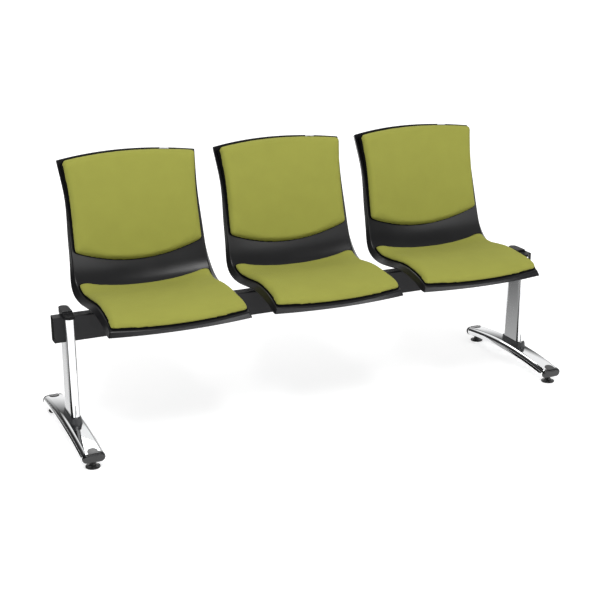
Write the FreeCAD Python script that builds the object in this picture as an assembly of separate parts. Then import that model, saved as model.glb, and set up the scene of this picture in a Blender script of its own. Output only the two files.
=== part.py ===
import FreeCAD, Part
import math
import os

# Three shell seats on a rectangular beam, carried by two T-shaped legs.
# Millimetres. X runs along the beam, the sitters face -Y, Z is up and the floor is Z = 0.
# While modelling, Y = 0 is the middle plane of the beam; the finished bench is then
# moved so that the origin lies on the floor under the middle of its outline.

# Bench layout
SEAT_COUNT = 3
BACK_RUN_COUNT = 3
SEAT_PITCH = 520.0
FIT_GAP = 0.2
RUNNING_GAP = 0.06

# Beam: a rectangular steel tube with a plug pushed into each end
BEAM_LENGTH = 1704.0
BEAM_OVERHANG = 43.0
BEAM_HEIGHT = 80.0
BEAM_DEPTH = 40.0
BEAM_WALL = 2.5
BEAM_CORNER = 4.0
BEAM_TOP = 405.0
PLUG_DEPTH = 16.0
PLUG_RECESS = 1.5
PLUG_WALL = 2.5

# Uprights: flat-sided oval tube, slotted at the top so that the beam lies in it
UPRIGHT_THICKNESS = 28.0
UPRIGHT_DEPTH = 98.0
UPRIGHT_WALL = 2.5
UPRIGHT_FORWARD = 5.0
SADDLE_THICKNESS = 10.0
BASE_PLATE_THICKNESS = 16.0
PLATE_LENGTH = 64.0

# Hood over the slotted top of each upright
HOOD_OVERHANG = 1.0
HOOD_RISE = 17.0
HOOD_NOSE_DROP = 12.0
HOOD_NOSE_LENGTH = 36.0
HOOD_BROW = 0.3
HOOD_BROW_DROP = 0.42
HOOD_TONGUE_LENGTH = 18.0

# Collar round the base of each upright
COLLAR_HEIGHT = 19.0
COLLAR_TOP_WIDTH = 32.0
COLLAR_BASE_WIDTH = 39.0
COLLAR_BASE_LENGTH = 119.0

# Feet: a flat oval tube bent into a low arch, with a moulded cap at each end
FOOT_LENGTH = 502.0
FOOT_WIDTH = 70.0
FOOT_THICKNESS = 30.0
FOOT_WALL = 3.0
FOOT_REARWARD = 6.5
FOOT_RISE = 20.0
FOOT_BENDS = 3
FOOT_MIDDLE_HEIGHT = 54.5
FOOT_CAP_THICKNESS = 10.0
FOOT_CAP_ROUNDING = 4.0
FOOT_CAP_PLUG = 38.0
FOOT_STEM_ROOM = 4.0
TONGUE_RADIUS = 16.0
TONGUE_THICKNESS = 1.4
TONGUE_LENGTH = 27.0
TONGUE_SIDES = 12

# Levelling glides
GLIDE_INSET = 23.0
GLIDE_DIAMETER = 45.0
GLIDE_SIDES = 24
GLIDE_RIM = 4.0
GLIDE_SHOULDER = 7.0
GLIDE_TOP = 23.0
GLIDE_HEX = 18.0
GLIDE_HEIGHT = 13.0
STEM_DIAMETER = 10.0
STEM_LENGTH = 28.5
STEM_HEADROOM = 1.0
GLIDE_RAISE = 6.0

# Seat shells: one moulding each, with its rim turned back all round
SHELL_WALL = 5.0
RIM_WALL = 4.5
HOLLOW_REACH = 14.0
REGION_MARGIN = 60.0
PROFILE_STEPS = 300
STATION_TURN = 15.0
STATION_REACH = 130.0
CREST_RISE = 37.0
CREST_FORWARD = 61.0
HIP_DROP = 10.0
HIP_REAR = 60.0
LIP_FRONT = 221.0
LIP_DROP = 30.0
LIP_DEPTH = 18.0
LIP_RAKE = 6.0
LIP_BOW = 23.0
LIP_FLARE = 7.0
LIP_CROWN = 6.0
LIP_OVERRUN = 45.0
LIP_FALL = 0.667
BROW_REACH = 70.0
BROW_SHARE = 0.27
BACK_RISE = 378.0
BACK_TOP_REAR = 267.0
BACK_ARCH = 24.0
BACK_OVERRUN = 52.0
BACK_UNDER = 12.0
LUMBAR_FORWARD = 109.0
LUMBAR_SHARE = 0.144
SHOULDER_FORWARD = 46.0
SHOULDER_SHARE = 0.62
BEND_REACH = 67.0
BEND_RISE = 20.0
LIP_HALF_WIDTH = 216.5
SEAT_HALF_WIDTH = 212.0
HIP_HALF_WIDTH = 215.0
BEND_HALF_WIDTH = 220.0
WAIST_HALF_WIDTH = 219.0
TOP_HALF_WIDTH = 229.0
BROW_HALF_WIDTH = 213.5
WIDEST_HALF_WIDTH = 221.0
BROW_HOLLOW = 4.0
SEAT_HOLLOW = 13.0
BEND_HOLLOW = 24.0
BACK_HOLLOW = 25.0
RIM_DEPTH_OVERRUN = 26.0
RIM_DEPTH_LIP = 20.0
RIM_DEPTH_BROW = 16.0
RIM_DEPTH_SEAT = 13.0
RIM_DEPTH_HIP = 12.0
RIM_DEPTH_LUMBAR = 14.0
RIM_DEPTH_SHOULDER = 16.0
RIM_DEPTH_TOP = 19.0
RIM_FLARE_BROW = 11.0
RIM_FLARE_CREST = 17.0
RIM_FLARE_HIP = 19.0
RIM_FLARE_BEND = 15.0
RIM_FLARE_LUMBAR = 7.0
RIM_DRAW_SHOULDER = 3.0
RIM_DRAW_TOP = 6.0
RAIL_WIDTH = 16.0
RAIL_LENGTH = 156.0
RAIL_SPACING = 150.0

# Upholstered pads, which lie on the sitting face inside the shell's edge
PAD_DRAW = 6.0
PAD_REACH = 40.0
PAD_TAPER = 0.2
PAD_GAP = 0.5
BACK_PAD_BORDER = 9.0
BACK_PAD_TOP_BORDER = 10.0
BACK_PAD_THICKNESS = 22.0
BACK_PAD_CROWN = 5.0
BACK_PAD_LOW_CORNER = 112.0
BACK_PAD_SMILE = 47.0
SEAT_PAD_BORDER = 5.0
SEAT_PAD_THICKNESS = 18.0
SEAT_PAD_CROWN = 6.0
SEAT_PAD_REAR = 134.0
SEAT_PAD_REAR_BOW = 14.0
SEAT_PAD_CORNER = 30.0
SEAT_PAD_SETBACK = 7.0

# Brackets and clamps between the shells and the beam
BRACKET_LENGTH = 190.0
BRACKET_DEPTH = 176.0
BRACKET_THICKNESS = 4.0
BRACKET_CORNER = 10.0
CLAMP_LENGTH = 120.0
CLAMP_THICKNESS = 5.0
CLAMP_FLANGE = 24.0

BEAM_BOTTOM = BEAM_TOP - BEAM_HEIGHT
LEG_SPACING = BEAM_LENGTH - 2.0 * BEAM_OVERHANG
CREST_HEIGHT = BEAM_TOP + CREST_RISE
HIP_HEIGHT = CREST_HEIGHT - HIP_DROP
LIP_TOP = CREST_HEIGHT - LIP_DROP
LIP_BOTTOM = LIP_TOP - LIP_DEPTH
BACK_TOP = CREST_HEIGHT + BACK_RISE
BACK_RADIUS = (WAIST_HALF_WIDTH ** 2 + BACK_HOLLOW ** 2) / (2.0 * BACK_HOLLOW)
SEAT_PLACES = [(i - (SEAT_COUNT - 1) / 2.0) * SEAT_PITCH for i in range(SEAT_COUNT)]
LEG_SIDES = (("left", -1), ("right", 1))


def vec(x, y, z):
    return FreeCAD.Vector(x, y, z)


def box(x0, x1, y0, y1, z0, z1):
    return Part.makeBox(x1 - x0, y1 - y0, z1 - z0, vec(x0, y0, z0))


def rod(diameter, start, direction, length):
    return Part.makeCylinder(diameter / 2.0, length, start, direction)


def polygon_wire(radius, sides, centre):
    """A level polygon with its corners on a circle."""
    corners = []
    for k in range(sides + 1):
        turn = 2.0 * math.pi * (k % sides) / sides
        corners.append(centre + vec(radius * math.cos(turn), radius * math.sin(turn), 0))
    return Part.makePolygon(corners)


def line(a, b):
    return Part.LineSegment(a, b).toShape()


def arc(a, b, c):
    return Part.Arc(a, b, c).toShape()


def oval_face(width, length, z, centre_x=0.0, centre_y=0.0):
    """A flat-sided oval, its long way along Y."""
    r = width / 2.0
    s = length / 2.0 - r
    edges = [
        line(vec(-r, -s, z), vec(-r, s, z)),
        arc(vec(-r, s, z), vec(0, s + r, z), vec(r, s, z)),
        line(vec(r, s, z), vec(r, -s, z)),
        arc(vec(r, -s, z), vec(0, -s - r, z), vec(-r, -s, z)),
    ]
    face = Part.Face(Part.Wire(edges))
    face.translate(vec(centre_x, centre_y, 0))
    return face


def oval_prism(width, length, z0, z1, centre_x=0.0, centre_y=0.0):
    return oval_face(width, length, z0, centre_x, centre_y).extrude(vec(0, 0, z1 - z0))


def mirrored(shape):
    return shape.mirror(vec(0, 0, 0), vec(1, 0, 0))


# Beam and plugs

def rounded_bar(x0, x1, depth, z0, z1, corner):
    bar = box(x0, x1, -depth / 2.0, depth / 2.0, z0, z1)
    long_edges = [e for e in bar.Edges if e.Length > abs(x1 - x0) - 1e-6
                  and abs(e.tangentAt(e.FirstParameter).x) > 0.99]
    return bar.makeFillet(corner, long_edges)


def beam():
    half = BEAM_LENGTH / 2.0
    outer = rounded_bar(-half, half, BEAM_DEPTH, BEAM_BOTTOM, BEAM_TOP, BEAM_CORNER)
    inner = rounded_bar(-half - 1, half + 1, BEAM_DEPTH - 2 * BEAM_WALL,
                        BEAM_BOTTOM + BEAM_WALL, BEAM_TOP - BEAM_WALL,
                        BEAM_CORNER - BEAM_WALL)
    return outer.cut(inner)


def beam_end_plug():
    """The right-hand plug: a shallow tray pushed into the tube, open inwards."""
    end = BEAM_LENGTH / 2.0 - PLUG_RECESS
    half = BEAM_DEPTH / 2.0 - BEAM_WALL - FIT_GAP
    drop = BEAM_WALL + FIT_GAP
    solid = box(end - PLUG_DEPTH, end, -half, half, BEAM_BOTTOM + drop, BEAM_TOP - drop)
    long_edges = [e for e in solid.Edges if abs(e.tangentAt(e.FirstParameter).x) > 0.99]
    solid = solid.makeChamfer(BEAM_CORNER - BEAM_WALL, long_edges)
    half -= PLUG_WALL
    drop += PLUG_WALL
    return solid.cut(box(end - PLUG_DEPTH - 1, end - PLUG_WALL, -half, half,
                         BEAM_BOTTOM + drop, BEAM_TOP - drop))


# Feet, their end caps and the glides

FOOT_MIDDLE = FOOT_REARWARD
FOOT_RADIUS = ((FOOT_LENGTH / 2.0) ** 2 + FOOT_RISE ** 2) / (2.0 * FOOT_RISE)
FOOT_AXIS_Z = FOOT_MIDDLE_HEIGHT - FOOT_RADIUS
FOOT_TUBE_ANGLE = math.degrees(
    math.asin((FOOT_LENGTH / 2.0 - FOOT_CAP_THICKNESS) / FOOT_RADIUS))
FOOT_STEP_ANGLE = 2.0 * FOOT_TUBE_ANGLE / FOOT_BENDS
FOOT_END_TILT = FOOT_TUBE_ANGLE - FOOT_STEP_ANGLE / 2.0


def arch_point(angle):
    """On the foot's middle line; positive angles lie towards the front."""
    turn = math.radians(angle)
    return vec(0, FOOT_MIDDLE - FOOT_RADIUS * math.sin(turn),
               FOOT_AXIS_Z + FOOT_RADIUS * math.cos(turn))


def oval_section(loss):
    """The foot's flat oval, smaller by loss all round, standing in the XZ plane."""
    r = FOOT_THICKNESS / 2.0 - loss
    s = (FOOT_WIDTH - FOOT_THICKNESS) / 2.0
    return Part.Wire([
        line(vec(-s, 0, r), vec(s, 0, r)),
        arc(vec(s, 0, r), vec(s + r, 0, 0), vec(s, 0, -r)),
        line(vec(s, 0, -r), vec(-s, 0, -r)),
        arc(vec(-s, 0, -r), vec(-s - r, 0, 0), vec(-s, 0, r)),
    ])


def foot_band(loss):
    """The oval carried along the arch in short straight runs."""
    wires = []
    for k in range(FOOT_BENDS + 1):
        angle = FOOT_TUBE_ANGLE - k * FOOT_STEP_ANGLE
        tilt = max(-FOOT_END_TILT, min(FOOT_END_TILT, angle))
        wire = oval_section(loss)
        wire.rotate(vec(0, 0, 0), vec(1, 0, 0), tilt)
        wire.translate(arch_point(angle))
        wires.append(wire)
    return Part.makeLoft(wires, True, True)


def glide_places():
    reach = FOOT_LENGTH / 2.0 - GLIDE_INSET
    return [("front", FOOT_MIDDLE - reach), ("rear", FOOT_MIDDLE + reach)]


def foot():
    """The tube, open at both ends, with a square opening below for each glide."""
    tube = foot_band(0).cut(foot_band(FOOT_WALL))
    room = STEM_DIAMETER / 2.0 + FOOT_STEM_ROOM
    for name, y in glide_places():
        tube = tube.cut(box(-room, room, y - room, y + room, 0, FOOT_MIDDLE_HEIGHT - FOOT_RISE))
    return tube


def foot_cap():
    """The front cap of a foot: rounded end, tongue on top, plug with the glide's bore."""
    outer = Part.Face(oval_section(0)).extrude(vec(0, -FOOT_CAP_THICKNESS, 0))
    rim = [e for e in outer.Edges if e.BoundBox.YMax < -0.9 * FOOT_CAP_THICKNESS]
    outer = outer.makeChamfer(FOOT_CAP_ROUNDING, rim)
    side = (FOOT_WIDTH - FOOT_THICKNESS) / 2.0
    level = FOOT_THICKNESS / 2.0 - FOOT_WALL - FIT_GAP
    plug = box(-side, side, -FOOT_CAP_THICKNESS / 2.0, FOOT_CAP_PLUG, -level, level)
    top = FOOT_THICKNESS / 2.0
    reach = TONGUE_LENGTH - TONGUE_RADIUS
    tongue = [vec(-TONGUE_RADIUS, -FOOT_CAP_THICKNESS / 3.0, top)]
    for step in range(TONGUE_SIDES + 1):
        turn = math.pi * (1.0 - float(step) / TONGUE_SIDES)
        tongue.append(vec(TONGUE_RADIUS * math.cos(turn),
                          reach + TONGUE_RADIUS * math.sin(turn), top))
    tongue.append(vec(TONGUE_RADIUS, -FOOT_CAP_THICKNESS / 3.0, top))
    tongue.append(tongue[0])
    tongue = Part.Face(Part.makePolygon(tongue)).extrude(vec(0, 0, TONGUE_THICKNESS))
    cap = outer.fuse([plug, tongue])
    cap.rotate(vec(0, 0, 0), vec(1, 0, 0), FOOT_END_TILT)
    cap.translate(arch_point(FOOT_TUBE_ANGLE))
    y = glide_places()[0][1]
    bore = rod(STEM_DIAMETER + 2 * RUNNING_GAP, vec(0, y, 0), vec(0, 0, 1),
               GLIDE_HEIGHT + STEM_LENGTH + GLIDE_RAISE + STEM_HEADROOM)
    return cap.cut(bore).removeSplitter()


def frustum(radius_low, radius_high, sides, low, high):
    """A many-sided cone end with flat faces, from its low centre to its high centre."""
    rings = []
    for radius, centre in ((radius_low, low), (radius_high, high)):
        rings.append([v.Point for v in polygon_wire(radius, sides, centre).Vertexes])
    faces = [Part.Face(Part.makePolygon(ring + ring[:1])) for ring in rings]
    for k in range(sides):
        a, b = rings[0][k], rings[0][(k + 1) % sides]
        c, d = rings[1][(k + 1) % sides], rings[1][k]
        faces.append(Part.Face(Part.makePolygon([a, b, c, d, a])))
    shell = Part.Shell(faces)
    shell.sewShape()
    return Part.Solid(shell)


def glide(y):
    """Moulded foot on the floor, a hexagon to turn it by, and the threaded stem above."""
    radius = GLIDE_DIAMETER / 2.0
    corner = GLIDE_HEX / math.sqrt(3.0)
    rim = Part.Face(polygon_wire(radius, GLIDE_SIDES, vec(0, y, 0)))
    rim = rim.extrude(vec(0, 0, GLIDE_RIM))
    shoulder = frustum(radius, GLIDE_TOP / 2.0, GLIDE_SIDES, vec(0, y, GLIDE_RIM),
                       vec(0, y, GLIDE_SHOULDER))
    nut = Part.Face(polygon_wire(corner, 6, vec(0, y, GLIDE_SHOULDER)))
    nut = nut.extrude(vec(0, 0, GLIDE_HEIGHT - GLIDE_SHOULDER))
    stem = rod(STEM_DIAMETER, vec(0, y, GLIDE_HEIGHT), vec(0, 0, 1), STEM_LENGTH)
    return rim.fuse([shoulder, nut, stem])


# Uprights and what is on them

def upright_oval(loss, z0, z1):
    return oval_prism(UPRIGHT_THICKNESS - 2 * loss, UPRIGHT_DEPTH - 2 * loss,
                      z0, z1, 0, -UPRIGHT_FORWARD)


def upright():
    base = FOOT_MIDDLE_HEIGHT
    tube = upright_oval(0, base, BEAM_TOP).cut(upright_oval(UPRIGHT_WALL, base - 1, BEAM_TOP + 1))
    slot = BEAM_DEPTH / 2.0 + FIT_GAP
    tube = tube.cut(box(-UPRIGHT_THICKNESS, UPRIGHT_THICKNESS, -slot, slot,
                        BEAM_BOTTOM, BEAM_TOP + 1))
    return tube.cut(foot_band(0))


def inner_block(z0, z1):
    """A block between the flat sides of the upright."""
    x = UPRIGHT_THICKNESS / 2.0 - UPRIGHT_WALL - FIT_GAP
    y = PLATE_LENGTH / 2.0
    return box(-x, x, -UPRIGHT_FORWARD - y, -UPRIGHT_FORWARD + y, z0, z1)


def beam_saddle():
    """Welded inside the upright, for the beam to stand on."""
    return inner_block(BEAM_BOTTOM - SADDLE_THICKNESS, BEAM_BOTTOM)


def base_plate():
    """Welded inside the upright, where it is bolted down on the foot."""
    top = FOOT_MIDDLE_HEIGHT + FOOT_THICKNESS / 2.0 + BASE_PLATE_THICKNESS
    return inner_block(FOOT_MIDDLE_HEIGHT, top).cut(foot_band(0))


def hood():
    """Moulded hood: flat over the beam, rounded down to the front, tongues in both lobes."""
    over = HOOD_OVERHANG
    top = BEAM_TOP + HOOD_RISE
    front = -UPRIGHT_FORWARD - UPRIGHT_DEPTH / 2.0 - over
    rear = -UPRIGHT_FORWARD + UPRIGHT_DEPTH / 2.0 + over
    width = UPRIGHT_THICKNESS + 2 * over
    low = BEAM_TOP + FIT_GAP
    crown = front + HOOD_NOSE_LENGTH
    brow = vec(0, front + HOOD_BROW * HOOD_NOSE_LENGTH, top - HOOD_BROW_DROP * HOOD_NOSE_DROP)
    side = [
        line(vec(0, rear, low), vec(0, rear, top)),
        line(vec(0, rear, top), vec(0, crown, top)),
        arc(vec(0, crown, top), brow, vec(0, front, top - HOOD_NOSE_DROP)),
        line(vec(0, front, top - HOOD_NOSE_DROP), vec(0, front, low)),
        line(vec(0, front, low), vec(0, rear, low)),
    ]
    profile = Part.Face(Part.Wire(side))
    profile.translate(vec(-width, 0, 0))
    body = profile.extrude(vec(2 * width, 0, 0))
    body = body.common(oval_prism(width, UPRIGHT_DEPTH + 2 * over, low - 1, top + 1,
                                  0, -UPRIGHT_FORWARD))
    tongues = upright_oval(UPRIGHT_WALL + FIT_GAP, BEAM_TOP - HOOD_TONGUE_LENGTH, BEAM_TOP + 2.0)
    beam_room = BEAM_DEPTH / 2.0 + 2 * FIT_GAP
    tongues = tongues.cut(box(-width, width, -beam_room, beam_room, 0, low))
    return body.fuse(tongues).removeSplitter()


def collar():
    """Moulded skirt between the upright and the foot, wider at its base."""
    base = FOOT_MIDDLE_HEIGHT
    top = FOOT_MIDDLE_HEIGHT + FOOT_THICKNESS / 2.0 + COLLAR_HEIGHT
    wide = COLLAR_BASE_WIDTH / 2.0
    narrow = COLLAR_TOP_WIDTH / 2.0
    reach = COLLAR_BASE_LENGTH / 2.0 - wide
    ends = [vec(0, -UPRIGHT_FORWARD - reach, base), vec(0, -UPRIGHT_FORWARD + reach, base)]
    corners = [vec(-wide, 0, 0), vec(wide, 0, 0), vec(narrow, 0, top - base),
               vec(-narrow, 0, top - base), vec(-wide, 0, 0)]
    wedge = Part.Face(Part.makePolygon(corners)).extrude(vec(0, 2 * reach, 0))
    wedge.translate(ends[0])
    cones = [Part.makeCone(wide, narrow, top - base, end) for end in ends]
    skirt = wedge.fuse(cones).removeSplitter()
    return skirt.cut(upright_oval(-FIT_GAP, base - 1, top + 1)).cut(foot_band(0))


# Seat shells

def back_hollow(half):
    """Depth of the back's hollow at its middle; the back is bent to one radius."""
    return BACK_RADIUS - math.sqrt(BACK_RADIUS ** 2 - half ** 2)


def key_stations():
    """Edge of the sitting face, from in front of the lip to above the top rail.

    Each row: Y, Z, half width, hollow in the middle, depth of the turned rim,
    and how far the rim flares outwards. From the lumbar row up, the back is straight
    between the rows.
    """
    bend = (HIP_REAR + BEND_REACH, HIP_HEIGHT + BEND_RISE)
    lumbar = (BACK_TOP_REAR - LUMBAR_FORWARD, bend[1] + LUMBAR_SHARE * (BACK_TOP - bend[1]))
    shoulder = (BACK_TOP_REAR - SHOULDER_FORWARD,
                lumbar[1] + SHOULDER_SHARE * (BACK_TOP - lumbar[1]))
    run = BACK_TOP - shoulder[1]
    tops = []
    for rise in (-BACK_UNDER, BACK_OVERRUN):
        share = 1.0 + rise / run
        half = WAIST_HALF_WIDTH + (TOP_HALF_WIDTH - WAIST_HALF_WIDTH) * share
        tops.append((shoulder[0] + SHOULDER_FORWARD * share, BACK_TOP + rise, half,
                     back_hollow(half),
                     RIM_DEPTH_SHOULDER + (RIM_DEPTH_TOP - RIM_DEPTH_SHOULDER) * share,
                     -RIM_DRAW_SHOULDER - (RIM_DRAW_TOP - RIM_DRAW_SHOULDER) * share))
    return [
        (-LIP_FRONT - LIP_OVERRUN, LIP_TOP - LIP_FALL * LIP_OVERRUN,
         LIP_HALF_WIDTH, -LIP_CROWN, RIM_DEPTH_OVERRUN, LIP_FLARE),
        (-LIP_FRONT, LIP_TOP, LIP_HALF_WIDTH, -LIP_CROWN, RIM_DEPTH_LIP, LIP_FLARE),
        (-LIP_FRONT + BROW_REACH, CREST_HEIGHT - BROW_SHARE * LIP_DROP, BROW_HALF_WIDTH,
         BROW_HOLLOW, RIM_DEPTH_BROW, RIM_FLARE_BROW),
        (-CREST_FORWARD, CREST_HEIGHT, SEAT_HALF_WIDTH, SEAT_HOLLOW, RIM_DEPTH_SEAT,
         RIM_FLARE_CREST),
        (HIP_REAR, HIP_HEIGHT, HIP_HALF_WIDTH, SEAT_HOLLOW, RIM_DEPTH_HIP, RIM_FLARE_HIP),
        (bend[0], bend[1], BEND_HALF_WIDTH, BEND_HOLLOW, RIM_DEPTH_SEAT, RIM_FLARE_BEND),
        (lumbar[0], lumbar[1], WIDEST_HALF_WIDTH, back_hollow(WIDEST_HALF_WIDTH),
         RIM_DEPTH_LUMBAR, RIM_FLARE_LUMBAR),
        (shoulder[0], shoulder[1], WAIST_HALF_WIDTH, back_hollow(WAIST_HALF_WIDTH),
         RIM_DEPTH_SHOULDER, -RIM_DRAW_SHOULDER),
    ] + tops


class Station:
    """One cross-section of the sitting face, square to its side profile."""

    def __init__(self, point, facing, half, hollow, rim_depth, flare):
        self.point = point
        self.facing = facing
        self.half = half
        self.hollow = hollow
        self.rim_depth = rim_depth
        self.flare = flare


def turned_facing(along):
    """Square to a direction along the profile, towards the sitter."""
    return vec(0, -along.z, along.y).normalize()


def seat_stations():
    """Sections up to the lumbar row, close together where the side profile bends."""
    rows = key_stations()[:-BACK_RUN_COUNT]
    points = [vec(0, row[0], row[1]) for row in rows]
    path = Part.BSplineCurve()
    path.interpolate(points, FinalTangent=back_stations()[1].point - points[-1])
    places = [path.parameter(point) for point in points]
    blends = []
    for column in (2, 4):
        blend = Part.BSplineCurve()
        blend.interpolate(Points=[vec(u, row[column], row[column + 1])
                                  for u, row in zip(places, rows)], Parameters=places)
        blends.append(blend)
    chosen = [places[0]]
    turned = 0.0
    for step in range(1, PROFILE_STEPS):
        u = places[0] + (places[-1] - places[0]) * step / PROFILE_STEPS
        turned = math.degrees(path.tangent(chosen[-1])[0].getAngle(path.tangent(u)[0]))
        if turned > STATION_TURN or path.length(chosen[-1], u) > STATION_REACH:
            if path.length(u, places[-1]) > STATION_REACH / 5.0:
                chosen.append(u)
    placed = []
    for u in chosen:
        size, rim = [blend.value(u) for blend in blends]
        placed.append(Station(path.value(u), turned_facing(path.tangent(u)[0]),
                              size.y, size.z, rim.y, rim.z))
    return placed


def back_stations():
    """Sections of the back, which is straight between them: lumbar, shoulder, top."""
    rows = key_stations()[-BACK_RUN_COUNT - 1:]
    points = [vec(0, row[0], row[1]) for row in rows]
    placed = []
    for k, (point, row) in enumerate(zip(points, rows)):
        start = min(k, len(rows) - 2)
        along = points[start + 1] - points[start]
        placed.append(Station(point, turned_facing(along), *row[2:]))
    return placed


def band_loft(chosen, front_edge, rear_edge):
    """A solid ruled through closed sections at the chosen stations.

    front_edge and rear_edge give, for a station, the half width, the depth at the
    sides and the depth in the middle, all measured back from the sitting face.
    """
    wires = []
    for station in chosen:
        point, facing = station.point, station.facing
        half_f, side_f, mid_f = front_edge(station)
        half_r, side_r, mid_r = rear_edge(station)
        fl = point + vec(-half_f, 0, 0) - facing * side_f
        fm = point - facing * mid_f
        fr = point + vec(half_f, 0, 0) - facing * side_f
        rl = point + vec(-half_r, 0, 0) - facing * side_r
        rm = point - facing * mid_r
        rr = point + vec(half_r, 0, 0) - facing * side_r
        wires.append(Part.Wire([arc(fl, fm, fr), line(fr, rr), arc(rr, rm, rl), line(rl, fl)]))
    return Part.makeLoft(wires, True, True)


def lip_region(setback, bottom):
    """Everything behind the bowed face of the front lip."""
    height = 2.0 * (BACK_TOP - bottom)
    side = LIP_HALF_WIDTH + RIM_FLARE_HIP + REGION_MARGIN
    ends = LIP_HALF_WIDTH + LIP_FLARE
    front = -LIP_FRONT + setback
    bulge = (side / ends) ** 2
    corner_y = front - LIP_BOW + LIP_BOW * bulge
    rear = BACK_TOP_REAR + height
    edges = [
        arc(vec(-side, corner_y, 0), vec(0, front - LIP_BOW, 0), vec(side, corner_y, 0)),
        line(vec(side, corner_y, 0), vec(side, rear, 0)),
        line(vec(side, rear, 0), vec(-side, rear, 0)),
        line(vec(-side, rear, 0), vec(-side, corner_y, 0)),
    ]
    face = Part.Face(Part.Wire(edges))
    rake = LIP_RAKE / (LIP_TOP - LIP_BOTTOM)
    drop = LIP_TOP - bottom
    face.translate(vec(0, -rake * drop, bottom))
    return face.extrude(vec(0, rake * height, height))


def back_direction():
    """Direction that faces the sitter over the upper run of the back."""
    rows = key_stations()
    return turned_facing(vec(0, rows[-1][0] - rows[-2][0], rows[-1][1] - rows[-2][1]))


def up_the_back(facing):
    """Square to a facing direction, up along the back."""
    return vec(0, facing.z, -facing.y)


def arch_region(drop):
    """Everything under the arched top edge, drop below it."""
    facing = back_direction()
    up = up_the_back(facing)
    corner = vec(0, BACK_TOP_REAR + 3.0, BACK_TOP) - up * drop
    half = TOP_HALF_WIDTH
    wide = half + REGION_MARGIN
    fall = BACK_ARCH * ((wide / half) ** 2 - 1.0)
    left = corner + vec(-wide, 0, 0) - up * fall
    right = corner + vec(wide, 0, 0) - up * fall
    reach = BACK_TOP + LIP_FRONT
    deep = up * 2.0 * reach
    edges = [
        arc(left, corner + up * BACK_ARCH, right),
        line(right, right - deep),
        line(right - deep, left - deep),
        line(left - deep, left),
    ]
    face = Part.Face(Part.Wire(edges))
    face.translate(facing * -reach)
    return face.extrude(facing * 2.0 * reach)


def face_depth(station, x):
    """How far the sitting face lies behind its edge, at x from the middle."""
    return station.hollow - face_sag(station, x)


def face_sag(station, x):
    """How far the sitting face rises from its middle to x."""
    half, hollow = station.half, station.hollow
    if abs(hollow) < 1e-6:
        return 0.0
    radius = (half ** 2 + hollow ** 2) / (2.0 * hollow)
    fall = math.sqrt(radius ** 2 - x ** 2)
    return radius - (fall if radius > 0 else -fall)


def edge_at(station, x, depth):
    """On a station, at x from the middle and at a depth behind the edge."""
    return station.point + vec(x, 0, 0) - station.facing * depth


def outer_rear(station):
    """Half width and depths of the outside's rear edge, bent as the face is."""
    half = station.half + station.flare
    return half, station.rim_depth, station.rim_depth + face_sag(station, half)


def hollow_front(station):
    half = station.half - RIM_WALL
    return half, SHELL_WALL + face_depth(station, half), SHELL_WALL + station.hollow


def hollow_rear(station):
    depth = station.rim_depth + HOLLOW_REACH
    half = station.half + station.flare * depth / station.rim_depth - RIM_WALL
    return half, depth, depth + face_sag(station, half)


def shell_outside():
    """The shell filled in behind, to the edge of its turned rim."""

    def front_edge(s):
        return s.half, 0.0, s.hollow

    band = band_loft(seat_stations() + back_stations(), front_edge, outer_rear)
    return band.common(arch_region(0)).common(lip_region(0, LIP_BOTTOM))


def shell_hollow():
    """What the turned rim encloses behind the sheet."""
    band = band_loft(seat_stations() + back_stations(), hollow_front, hollow_rear)
    low = LIP_BOTTOM - BACK_TOP / 10.0
    return band.common(arch_region(RIM_WALL)).common(lip_region(RIM_WALL, low))


def seat_shell():
    """The moulding with the two rails that stand on its bracket."""
    hollow = shell_hollow()
    y = RAIL_LENGTH / 2.0
    rails = []
    for side in (-1, 1):
        x = side * RAIL_SPACING / 2.0
        rail = box(x - RAIL_WIDTH / 2.0, x + RAIL_WIDTH / 2.0, -y, y,
                   BEAM_TOP + BRACKET_THICKNESS, CREST_HEIGHT)
        rails.append(rail.common(hollow))
    return shell_outside().cut(hollow).fuse(rails).removeSplitter()


# Pads

def pad_slab(chosen, border, thickness, crown):
    """A layer on the sitting face, drawn in at the sides and thicker in the middle."""

    def front_edge(station):
        half = station.half - border - PAD_DRAW
        return half, face_depth(station, half) - thickness, station.hollow - thickness - crown

    def rear_edge(station):
        half = station.half - border
        return half, face_depth(station, half) - PAD_GAP, station.hollow - PAD_GAP

    return band_loft(chosen, front_edge, rear_edge)


def big_block(point, direction, size):
    """Everything within size of a point, on the side that the direction points to."""
    across = vec(1, 0, 0)
    up = direction.cross(across)
    corners = [point + across * (a * size) + up * (b * size)
               for a, b in ((-1, -1), (1, -1), (1, 1), (-1, 1), (-1, -1))]
    return Part.Face(Part.makePolygon(corners)).extrude(direction * size)


def back_run(start, end, half, thickness, crown):
    """A layer on the back along one straight run, bent to the back's radius."""
    along = (end - start).normalize()
    facing = turned_facing(along)

    def above(x, height):
        return end + vec(x, 0, 0) + facing * height

    edge = half - BACK_PAD_BORDER - PAD_DRAW
    rise = back_hollow(edge) - crown
    radius = (edge ** 2 + rise ** 2) / (2.0 * rise)
    rear_edge = back_hollow(half) + PAD_GAP
    front_edge = thickness + crown + radius - math.sqrt(radius ** 2 - half ** 2)
    section = Part.Face(Part.Wire([
        arc(above(-half, rear_edge), above(0, PAD_GAP), above(half, rear_edge)),
        line(above(half, rear_edge), above(half, front_edge)),
        arc(above(half, front_edge), above(0, thickness + crown), above(-half, front_edge)),
        line(above(-half, front_edge), above(-half, rear_edge)),
    ]))
    section.translate(along * -BACK_RISE)
    return section.extrude(along * 2.0 * BACK_RISE)


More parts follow.
